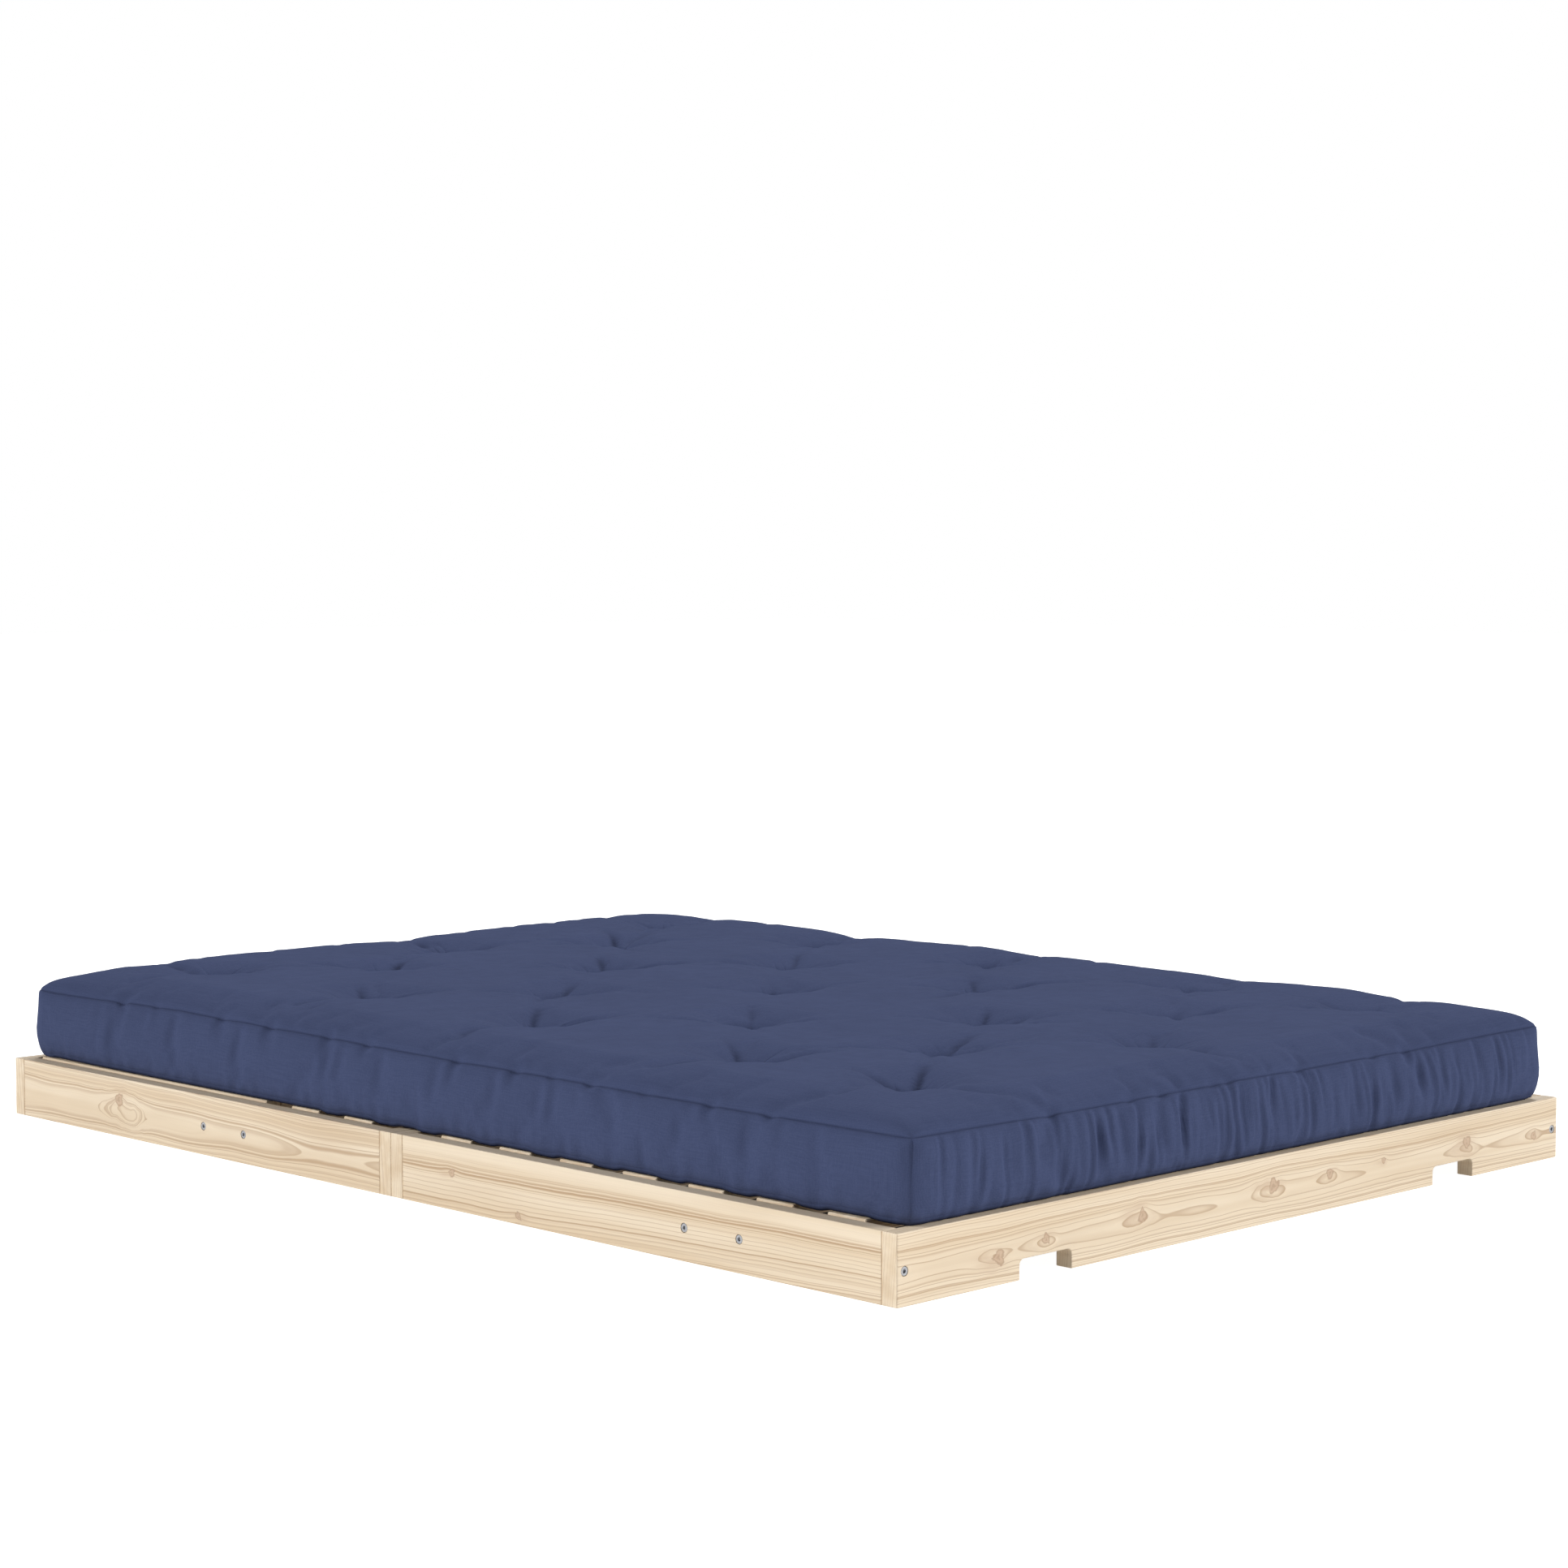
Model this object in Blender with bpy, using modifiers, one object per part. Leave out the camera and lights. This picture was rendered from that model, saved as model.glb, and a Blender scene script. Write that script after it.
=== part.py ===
"""Low two-part pine bed frame with a reclining head panel and a futon mattress.

Two slatted boxes of the same size are bolted end to end. The foot box carries seven fixed slats. The head
box carries two fixed slats and a panel of five slats on two arms, which tilts up about a pair of bolts.

Axes: +X towards the foot end, -Y is the left side, +Z up. The origin is on the floor under the middle of
the bed. All sizes are in metres.
"""
import math

import bmesh
import bpy
from mathutils import Matrix, Vector

# Driving dimensions
LENGTH = 2.050
WIDTH = 1.500
RAIL_HEIGHT = 0.095
BOARD = 0.027                # thickness of rails, end boards, battens and arms
SEAT = 0.0975                # height of the slats' upper faces
SLAT_WIDTH = 0.070
SLAT_THICKNESS = 0.018
SLAT_PITCH = 0.132
SLATS_PER_BOX = 7
FIXED_HEAD_SLATS = 2         # the other head slats belong to the reclining panel
BATTEN_HEIGHT = 0.045
EDGE = 0.0015                # softened edge of every board
FIT = 0.0003                 # gap left between pieces that touch
RUNNING = 0.0015             # gap beside the moving panel

# Hand notches in the lower edge of the end boards
NOTCH_WIDTH = 0.103
NOTCH_HEIGHT = 0.0275
NOTCH_RADIUS = 0.008
NOTCH_FROM_END = 0.2835      # from the board's end to the notch's middle

# Fasteners
BOLT_HEIGHT = 0.0457         # all frame bolts sit near the middle of the boards' height
HEAD_RADIUS = 0.00625
HEAD_THICKNESS = 0.0035
SHANK_RADIUS = 0.003
HOLE_RADIUS = 0.0035
RECESS_RADIUS = 0.0068
RECESS_DEPTH = 0.0042
SOCKET_RADIUS = 0.0031
SOCKET_DEPTH = 0.0026
END_BOLT_LENGTH = 0.068      # under the head: through an end board into a rail's end
RAIL_BOLT_LENGTH = 0.044     # through a rail into the batten behind it
PIVOT_BOLT_LENGTH = 0.0585   # through a rail and a panel arm, with a nut inside
STOP_BOLT_LENGTH = 0.0525    # through a rail, to pass under a panel arm
RAIL_BOLTS_FROM_FOOT = (0.286, 0.392)
PIVOT_FROM_FOOT = 1.395
STOP_FROM_FOOT = 1.502
BOX_BOLT_RADIUS = 0.004      # the two long bolts that hold the boxes together
BOX_BOLT_HOLE = 0.0045
BOX_BOLT_LENGTH = 0.072
BOX_BOLT_Y = 0.450
ROUND = 20                   # sides of bolts and holes

# Reclining panel
ARM_NEAR_END = 0.022         # how far the arms run past the pivot towards the foot
ARM_END_GAP = 0.011          # from the arms' far ends to the head end board
ARM_DEEP_HEIGHT = 0.070      # around the pivot
ARM_DEEP_LENGTH = 0.077
ARM_BOTTOM = 0.049           # underside of the arms beyond the pivot, on the stop bolts
PANEL_REST_HEIGHT = 0.020    # batten under the arms' far ends, above the hand notches

# Mattress
MATTRESS_LENGTH = 2.020
MATTRESS_WIDTH = 1.425
MATTRESS_HEIGHT = 0.138
MATTRESS_EDGE = 0.016
FOLD_FOOT_BOTTOM = -0.295    # X of the fold's faces, towards the foot and towards the head
FOLD_FOOT_TOP = -0.215
FOLD_HEAD_BOTTOM = -0.360
FOLD_HEAD_TOP = -0.435

# Places worked out from the driving dimensions
HALF_LENGTH = LENGTH / 2
HALF_WIDTH = WIDTH / 2
RAIL_INSIDE = HALF_WIDTH - BOARD
END_INSIDE = HALF_LENGTH - BOARD
SLAT_BOTTOM = SEAT - SLAT_THICKNESS
BATTEN_TOP = SLAT_BOTTOM - FIT
BATTEN_BOTTOM = BATTEN_TOP - BATTEN_HEIGHT
FIRST_SLAT = (HALF_LENGTH - SLAT_PITCH * (SLATS_PER_BOX - 1)) / 2
SLAT_END = RAIL_INSIDE - RUNNING
ARM_OUTSIDE = RAIL_INSIDE - RUNNING
ARM_INSIDE = ARM_OUTSIDE - BOARD
PIVOT_X = HALF_LENGTH - PIVOT_FROM_FOOT
STOP_X = HALF_LENGTH - STOP_FROM_FOOT
ARM_X_NEAR = PIVOT_X + ARM_NEAR_END
ARM_X_FAR = -END_INSIDE + ARM_END_GAP
CROSS_RAIL_X = -(FIRST_SLAT + SLAT_PITCH * (FIXED_HEAD_SLATS - 1))
SIDES = (("left", -1), ("right", 1))


def empty_scene():
    for item in list(bpy.data.objects):
        bpy.data.objects.remove(item, do_unlink=True)


def new_collection(name):
    group = bpy.data.collections.new(name)
    bpy.context.scene.collection.children.link(group)
    return group


def new_material(name, colour, roughness, metallic=0.0):
    material = bpy.data.materials.new(name)
    material.use_nodes = True
    shader = material.node_tree.nodes["Principled BSDF"]
    shader.inputs["Base Color"].default_value = (*colour, 1.0)
    shader.inputs["Roughness"].default_value = roughness
    shader.inputs["Metallic"].default_value = metallic
    material.diffuse_color = (*colour, 1.0)
    return material


def add_object(name, mesh, group, material=None):
    item = bpy.data.objects.new(name, mesh)
    if material:
        item.data.materials.clear()
        item.data.materials.append(material)
    group.objects.link(item)
    return item


def block_mesh(name, size):
    """A block centred on its origin."""
    mesh = bpy.data.meshes.new(name)
    shape = bmesh.new()
    bmesh.ops.create_cube(shape, size=1.0, matrix=Matrix.Diagonal((*size, 1.0)))
    shape.to_mesh(mesh)
    shape.free()
    return mesh


def rod_mesh(name, radius, length, sides):
    """A rod along Z, centred on its origin."""
    mesh = bpy.data.meshes.new(name)
    shape = bmesh.new()
    bmesh.ops.create_cone(shape, cap_ends=True, segments=sides, radius1=radius, radius2=radius, depth=length)
    shape.to_mesh(mesh)
    shape.free()
    return mesh


def soften(item, width, segments):
    bevel = item.modifiers.new("soft_edges", "BEVEL")
    bevel.width = width
    bevel.segments = segments
    bevel.limit_method = "ANGLE"
    bevel.angle_limit = math.radians(40)


def add_board(name, low, high, material, segments=1):
    """A board between two opposite corners, with softened edges."""
    low = Vector(low)
    high = Vector(high)
    item = add_object(name, block_mesh(name, high - low), parts, material)
    item.location = (low + high) / 2
    soften(item, EDGE, segments)
    return item


def add_cutter(name, mesh):
    item = add_object(name, mesh, cutters)
    item.hide_render = True
    item.display_type = "WIRE"
    return item


def combine(item, other, operation="DIFFERENCE"):
    boolean = item.modifiers.new(operation.lower(), "BOOLEAN")
    boolean.operation = operation
    boolean.object = other
    boolean.solver = "EXACT"


def turn_from_z(direction):
    return Vector((0, 0, 1)).rotation_difference(Vector(direction)).to_euler()


def drill(item, mouth, direction, radius, depth):
    """A round hole whose mouth is at a point on a face, going in along direction."""
    overrun = 0.001
    direction = Vector(direction)
    cutter = add_cutter(f"{item.name}_hole", rod_mesh("hole", radius, depth + overrun, ROUND))
    cutter.location = Vector(mouth) + direction * (depth - overrun) / 2
    cutter.rotation_euler = turn_from_z(direction)
    combine(item, cutter)


def drill_for_bolt(item, mouth, direction, through):
    """A hole through a board with a recess for a flush bolt head."""
    drill(item, mouth, direction, RECESS_RADIUS, RECESS_DEPTH)
    drill(item, mouth, direction, HOLE_RADIUS, through + 0.001)


def turned_mesh(name, profile, cutter_mesh=None, cutter_z=0.0):
    """Turn a profile of (radius, height) points about Z, and cut it if a cutter is given."""
    mesh = bpy.data.meshes.new(f"{name}_profile")
    shape = bmesh.new()
    points = [shape.verts.new((radius, 0, height)) for radius, height in profile]
    for upper, lower in zip(points, points[1:]):
        shape.edges.new((upper, lower))
    shape.to_mesh(mesh)
    shape.free()
    item = bpy.data.objects.new(f"{name}_draft", mesh)
    parts.objects.link(item)
    screw = item.modifiers.new("turn", "SCREW")
    screw.steps = ROUND
    screw.render_steps = ROUND
    screw.use_merge_vertices = True
    screw.merge_threshold = 0.00001
    cutter = None
    if cutter_mesh:
        cutter = add_cutter(f"{name}_socket", cutter_mesh)
        cutter.location.z = cutter_z
        combine(item, cutter)
    bpy.context.view_layer.update()
    evaluated = item.evaluated_get(bpy.context.evaluated_depsgraph_get())
    result = bpy.data.meshes.new_from_object(evaluated)
    result.name = name
    result.shade_smooth()
    result.set_sharp_from_angle(angle=math.radians(35))
    bpy.data.objects.remove(item, do_unlink=True)
    if cutter:
        bpy.data.objects.remove(cutter, do_unlink=True)
    return result


def bolt_mesh(name, head_radius, head_thickness, shank_radius, length, socket_radius):
    """A bolt whose head points up +Z, with the underside of the head at the origin."""
    chamfer = 0.0005
    profile = (
        (0, head_thickness),
        (head_radius - chamfer, head_thickness),
        (head_radius, head_thickness - chamfer),
        (head_radius, 0),
        (shank_radius, 0),
        (shank_radius, chamfer - length),
        (shank_radius - chamfer, -length),
        (0, -length),
    )
    overrun = 0.001
    socket = rod_mesh(f"{name}_socket", socket_radius, SOCKET_DEPTH + overrun, 6)
    return turned_mesh(name, profile, socket, head_thickness - (SOCKET_DEPTH - overrun) / 2)


def add_bolt(name, mesh, seat, direction, material):
    """Place a bolt with the underside of its head at seat, its shank going along direction."""
    item = add_object(name, mesh, parts)
    if not mesh.materials:
        mesh.materials.append(material)
    item.location = seat
    item.rotation_euler = turn_from_z(-Vector(direction))
    return item


def cut_notches(board):
    """Two hand notches with rounded upper corners, open at the board's lower edge."""
    depth = BOARD * 2
    height = NOTCH_HEIGHT * 2
    for side, sign in SIDES:
        mesh = block_mesh("notch", (depth, NOTCH_WIDTH, height))
        shape = bmesh.new()
        shape.from_mesh(mesh)
        upper = [e for e in shape.edges if all(v.co.z > 0 for v in e.verts)
                 and abs(e.verts[0].co.x - e.verts[1].co.x) > depth / 2]
        bmesh.ops.bevel(shape, geom=upper, offset=NOTCH_RADIUS, segments=4, profile=0.5, affect="EDGES")
        shape.to_mesh(mesh)
        shape.free()
        cutter = add_cutter(f"{board.name}_notch_{side}", mesh)
        cutter.location = (board.location.x, sign * (HALF_WIDTH - NOTCH_FROM_END), 0)
        combine(board, cutter)


def end_board(name, x_low, x_high, outward, notched):
    """A full-width board across a box's end, with its two flush corner bolts' holes."""
    low = Vector((x_low, -HALF_WIDTH, 0))
    high = Vector((x_high, HALF_WIDTH, RAIL_HEIGHT))
    board = add_object(name, block_mesh(name, high - low), parts, pine_board)
    board.location = (low + high) / 2
    if notched:
        cut_notches(board)
    soften(board, EDGE, 2)
    face_x = x_high if outward > 0 else x_low
    for side, sign in SIDES:
        mouth = (face_x, sign * (HALF_WIDTH - BOARD / 2), BOLT_HEIGHT)
        drill_for_bolt(board, mouth, (-outward, 0, 0), BOARD)
        bolt = f"{name}_bolt_{side}"
        seat = Vector(mouth) - Vector((outward, 0, 0)) * (RECESS_DEPTH - FIT)
        add_bolt(bolt, end_bolt, seat, (-outward, 0, 0), steel)
    return board


def side_rail(name, sign, x_low, x_high):
    """A long side rail between two end boards, with blind bolt holes in its end grain."""
    y_low, y_high = sorted((sign * RAIL_INSIDE, sign * HALF_WIDTH))
    rail = add_board(name, (x_low, y_low, 0), (x_high, y_high, RAIL_HEIGHT), pine_board, segments=2)
    middle = sign * (HALF_WIDTH - BOARD / 2)
    depth = END_BOLT_LENGTH - BOARD + 0.008
    drill(rail, (x_low, middle, BOLT_HEIGHT), (1, 0, 0), HOLE_RADIUS, depth)
    drill(rail, (x_high, middle, BOLT_HEIGHT), (-1, 0, 0), HOLE_RADIUS, depth)
    return rail


def bolt_through_rail(rail, name, sign, x, mesh):
    """A flush bolt from a rail's outer face, pointing into the bed."""
    mouth = Vector((x, sign * HALF_WIDTH, BOLT_HEIGHT))
    inward = Vector((0, -sign, 0))
    drill_for_bolt(rail, mouth, inward, BOARD)
    add_bolt(name, mesh, mouth + inward * (RECESS_DEPTH - FIT), inward, steel)


def batten(name, low, high):
    return add_board(name, low, high, pine_batten)


def fixed_slat(name, x):
    low = (x - SLAT_WIDTH / 2, -SLAT_END, SLAT_BOTTOM)
    high = (x + SLAT_WIDTH / 2, SLAT_END, SEAT)
    return add_board(name, low, high, pine_slat)


def ledger(name, sign, x_low, x_high):
    """A batten along the inside of a rail that carries the slats' ends."""
    y_low, y_high = sorted((sign * (RAIL_INSIDE - FIT), sign * (RAIL_INSIDE - FIT - BOARD)))
    return batten(name, (x_low, y_low, BATTEN_BOTTOM), (x_high, y_high, BATTEN_TOP))


def centre_beam(name, x_low, x_high):
    """A batten on edge along the middle of the bed, standing on the floor under the slats."""
    return batten(name, (x_low, -BOARD / 2, 0), (x_high, BOARD / 2, BATTEN_TOP))


def build_foot_box():
    end_board("foot_end_board", END_INSIDE, HALF_LENGTH, 1, notched=True)
    end_board("foot_inner_board", FIT / 2, BOARD, -1, notched=False)
    x_low = BOARD + FIT
    x_high = END_INSIDE - FIT
    for side, sign in SIDES:
        rail = side_rail(f"foot_rail_{side}", sign, x_low, x_high)
        support = ledger(f"foot_ledger_{side}", sign, x_low, x_high)
        for number, from_foot in enumerate(RAIL_BOLTS_FROM_FOOT, start=1):
            x = HALF_LENGTH - from_foot
            bolt_through_rail(rail, f"foot_rail_bolt_{side}_{number}", sign, x, rail_bolt)
            mouth = (x, sign * (RAIL_INSIDE - FIT), BOLT_HEIGHT)
            drill(support, mouth, (0, -sign, 0), HOLE_RADIUS, RAIL_BOLT_LENGTH + 0.006 - BOARD)
    centre_beam("foot_centre_beam", x_low, x_high)
    for number in range(SLATS_PER_BOX):
        x = HALF_LENGTH - FIRST_SLAT - SLAT_PITCH * number
        fixed_slat(f"foot_slat_{number + 1}", x)


def build_head_box():
    end_board("head_inner_board", -BOARD, -FIT / 2, 1, notched=False)
    end_board("head_end_board", -HALF_LENGTH, -END_INSIDE, -1, notched=True)
    x_low = -END_INSIDE + FIT
    x_high = -BOARD - FIT
    cross_near = CROSS_RAIL_X + BOARD / 2
    for side, sign in SIDES:
        rail = side_rail(f"head_rail_{side}", sign, x_low, x_high)
        bolt_through_rail(rail, f"pivot_bolt_{side}", sign, PIVOT_X, pivot_bolt)
        bolt_through_rail(rail, f"stop_bolt_{side}", sign, STOP_X, stop_bolt)
        ledger(f"head_ledger_{side}", sign, cross_near + FIT, x_high)
    low = (CROSS_RAIL_X - BOARD / 2, -RAIL_INSIDE + FIT, BATTEN_BOTTOM)
    batten("head_cross_rail", low, (cross_near, RAIL_INSIDE - FIT, BATTEN_TOP))
    centre_beam("head_centre_beam_short", cross_near + FIT, x_high)
    rest_inside = x_low + BOARD
    low = (x_low, -RAIL_INSIDE + FIT, ARM_BOTTOM - FIT - PANEL_REST_HEIGHT)
    batten("head_panel_rest", low, (rest_inside, RAIL_INSIDE - FIT, ARM_BOTTOM - FIT))
    centre_beam("head_centre_beam_long", rest_inside + FIT, PIVOT_X - ARM_DEEP_LENGTH)
    for number in range(FIXED_HEAD_SLATS):
        fixed_slat(f"head_slat_{number + 1}", -FIRST_SLAT - SLAT_PITCH * number)


def join_boxes():
    """Two long bolts with wing nuts through both inner boards."""
    head_seat_x = BOARD + FIT
    nut_face_x = -BOARD - FIT
    for side, sign in SIDES:
        y = sign * BOX_BOLT_Y
        for name in ("foot_inner_board", "head_inner_board"):
            board = bpy.data.objects[name]
            drill(board, (BOARD, y, BOLT_HEIGHT), (-1, 0, 0), BOX_BOLT_HOLE, BOARD * 2 + 0.001)
        add_bolt(f"box_bolt_{side}", box_bolt, (head_seat_x, y, BOLT_HEIGHT), (-1, 0, 0), steel)
        wing_nut(f"wing_nut_{side}", (nut_face_x, y, BOLT_HEIGHT))


def wing_nut(name, face):
    """A nut with two thumb wings, its flat face towards the foot end."""
    hub_radius = 0.0075
    hub_length = 0.010
    wing = (0.013, 0.034, 0.003)
    hub = add_object(name, rod_mesh(name, hub_radius, hub_length, ROUND), parts, steel)
    hub.location = Vector(face) - Vector((hub_length / 2, 0, 0))
    hub.rotation_euler = turn_from_z((-1, 0, 0))
    wings = add_cutter(f"{name}_wings", block_mesh("wings", wing))
    wings.location = Vector(face) - Vector((0.003 + wing[0] / 2, 0, 0))
    soften(wings, 0.0012, 1)
    combine(hub, wings, "UNION")
    bore = add_cutter(f"{name}_bore", rod_mesh("bore", BOX_BOLT_HOLE, 0.060, ROUND))
    bore.location = face
    bore.rotation_euler = turn_from_z((-1, 0, 0))
    combine(hub, bore)
    return hub


def build_panel():
    """The reclining panel: two arms and five slats between them, hanging from the pivot bolts."""
    pivot = bpy.data.objects.new("panel_pivot", None)
    pivot.location = (PIVOT_X, 0, BOLT_HEIGHT)
    parts.objects.link(pivot)
    bpy.context.view_layer.update()
    pieces = []
    for side, sign in SIDES:
        y_low, y_high = sorted((sign * ARM_OUTSIDE, sign * ARM_INSIDE))
        low = Vector((ARM_X_FAR, y_low, SEAT - ARM_DEEP_HEIGHT))
        high = Vector((ARM_X_NEAR, y_high, SEAT))
        name = f"panel_arm_{side}"
        arm = add_object(name, block_mesh(name, high - low), parts, pine_board)
        arm.location = (low + high) / 2
        relief_length = LENGTH
        step_x = PIVOT_X - ARM_DEEP_LENGTH + ARM_NEAR_END
        relief = add_cutter(f"{name}_relief", block_mesh("relief", (relief_length, BOARD * 2, 0.1)))
        relief.location = (step_x - relief_length / 2, sign * ARM_INSIDE, ARM_BOTTOM - 0.05)
        combine(arm, relief)
        soften(arm, EDGE, 1)
        drill(arm, (PIVOT_X, sign * ARM_OUTSIDE, BOLT_HEIGHT), (0, -sign, 0), HOLE_RADIUS, BOARD + 0.001)
        pieces.append(arm)
    slat_end = ARM_INSIDE - FIT
    for number in range(SLATS_PER_BOX - FIXED_HEAD_SLATS):
        x = -FIRST_SLAT - SLAT_PITCH * (number + FIXED_HEAD_SLATS)
        low = (x - SLAT_WIDTH / 2, -slat_end, SLAT_BOTTOM)
        high = (x + SLAT_WIDTH / 2, slat_end, SEAT)
        pieces.append(add_board(f"panel_slat_{number + 1}", low, high, pine_slat))
    for side, sign in SIDES:
        nut = add_object(f"pivot_nut_{side}", rod_mesh("pivot_nut", 0.0058, 0.005, 6), parts, steel)
        nut.location = (PIVOT_X, sign * (ARM_INSIDE - FIT - 0.0025), BOLT_HEIGHT)
        nut.rotation_euler = turn_from_z((0, -sign, 0))
        bore = add_cutter(f"pivot_nut_bore_{side}", rod_mesh("bore", HOLE_RADIUS, 0.020, ROUND))
        bore.location = nut.location
        bore.rotation_euler = nut.rotation_euler
        combine(nut, bore)
    for piece in pieces:
        piece.parent = pivot
        piece.matrix_parent_inverse = pivot.matrix_world.inverted()
    return pivot


def mattress_block(name, near_bottom, near_top, far_bottom, far_top):
    """A slice of the mattress. Its foot-side and head-side faces may lean."""
    low_z = SEAT + FIT
    mesh = block_mesh(name, (1, MATTRESS_WIDTH, MATTRESS_HEIGHT))
    for vertex in mesh.vertices:
        top = vertex.co.z > 0
        if vertex.co.x > 0:
            vertex.co.x = near_top if top else near_bottom
        else:
            vertex.co.x = far_top if top else far_bottom
    item = add_object(name, mesh, parts, navy_fabric)
    item.location.z = low_z + MATTRESS_HEIGHT / 2
    soften(item, MATTRESS_EDGE, 2)
    return item


def build_mattress(pivot):
    """The mattress lies over both boxes. A slanted slice over the pivot folds as the panel rises."""
    end = MATTRESS_LENGTH / 2
    mattress_block("mattress_foot_part", end, end, FOLD_FOOT_BOTTOM, FOLD_FOOT_TOP)
    near = (FOLD_FOOT_BOTTOM - FIT * 2, FOLD_FOOT_TOP - FIT * 2)
    mattress_block("mattress_fold", *near, FOLD_HEAD_BOTTOM + FIT * 2, FOLD_HEAD_TOP + FIT * 2)
    head = mattress_block("mattress_head_part", FOLD_HEAD_BOTTOM, FOLD_HEAD_TOP, -end, -end)
    head.parent = pivot
    head.matrix_parent_inverse = pivot.matrix_world.inverted()


empty_scene()
parts = new_collection("bed_frame")
cutters = new_collection("cutters")

pine_board = new_material("pine_board", (0.78, 0.62, 0.43), 0.55)
pine_slat = new_material("pine_slat", (0.74, 0.58, 0.39), 0.60)
pine_batten = new_material("pine_batten", (0.72, 0.55, 0.36), 0.62)
steel = new_material("steel", (0.55, 0.56, 0.58), 0.32, metallic=1.0)
navy_fabric = new_material("navy_fabric", (0.062, 0.078, 0.142), 0.88)

end_bolt = bolt_mesh("end_bolt", HEAD_RADIUS, HEAD_THICKNESS, SHANK_RADIUS, END_BOLT_LENGTH, SOCKET_RADIUS)
rail_bolt = bolt_mesh("rail_bolt", HEAD_RADIUS, HEAD_THICKNESS, SHANK_RADIUS, RAIL_BOLT_LENGTH, SOCKET_RADIUS)
pivot_bolt = bolt_mesh("pivot_bolt", HEAD_RADIUS, HEAD_THICKNESS, SHANK_RADIUS, PIVOT_BOLT_LENGTH, SOCKET_RADIUS)
stop_bolt = bolt_mesh("stop_bolt", HEAD_RADIUS, HEAD_THICKNESS, SHANK_RADIUS, STOP_BOLT_LENGTH, SOCKET_RADIUS)
box_bolt = bolt_mesh("box_bolt", 0.0080, 0.0050, BOX_BOLT_RADIUS, BOX_BOLT_LENGTH, SOCKET_RADIUS)

build_foot_box()
build_head_box()
join_boxes()
build_mattress(build_panel())
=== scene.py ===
"""The looks of a low pine bed with a tufted futon mattress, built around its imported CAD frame.

Everything is in metres in the frame's own axes: X towards the foot, Z up, the floor at 0.
"""

import math

import bmesh
import bpy
import mathutils
import numpy as np
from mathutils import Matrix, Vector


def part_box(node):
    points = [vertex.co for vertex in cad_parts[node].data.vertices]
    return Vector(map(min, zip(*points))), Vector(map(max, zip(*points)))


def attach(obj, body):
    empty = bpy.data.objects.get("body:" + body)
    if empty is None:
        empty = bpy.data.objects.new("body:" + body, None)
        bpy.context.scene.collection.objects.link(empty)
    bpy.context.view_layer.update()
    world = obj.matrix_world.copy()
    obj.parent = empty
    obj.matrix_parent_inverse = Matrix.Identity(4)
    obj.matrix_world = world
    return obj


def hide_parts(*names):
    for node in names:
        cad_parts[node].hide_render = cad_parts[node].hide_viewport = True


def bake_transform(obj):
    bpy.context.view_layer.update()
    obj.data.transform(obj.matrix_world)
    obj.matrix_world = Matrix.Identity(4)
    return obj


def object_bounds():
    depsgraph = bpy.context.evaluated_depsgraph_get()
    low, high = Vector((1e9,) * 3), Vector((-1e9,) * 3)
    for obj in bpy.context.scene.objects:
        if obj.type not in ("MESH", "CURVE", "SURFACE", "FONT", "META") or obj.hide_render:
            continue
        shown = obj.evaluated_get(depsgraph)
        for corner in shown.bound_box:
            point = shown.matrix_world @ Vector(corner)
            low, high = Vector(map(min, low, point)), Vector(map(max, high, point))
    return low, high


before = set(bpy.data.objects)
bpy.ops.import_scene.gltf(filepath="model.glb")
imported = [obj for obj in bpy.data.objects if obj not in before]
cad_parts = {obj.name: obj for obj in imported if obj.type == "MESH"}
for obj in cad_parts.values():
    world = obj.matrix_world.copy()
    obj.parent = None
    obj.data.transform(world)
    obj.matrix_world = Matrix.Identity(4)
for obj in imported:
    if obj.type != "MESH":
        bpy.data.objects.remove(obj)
CAD_LOW, CAD_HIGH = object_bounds()


# ---------------- helpers


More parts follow.
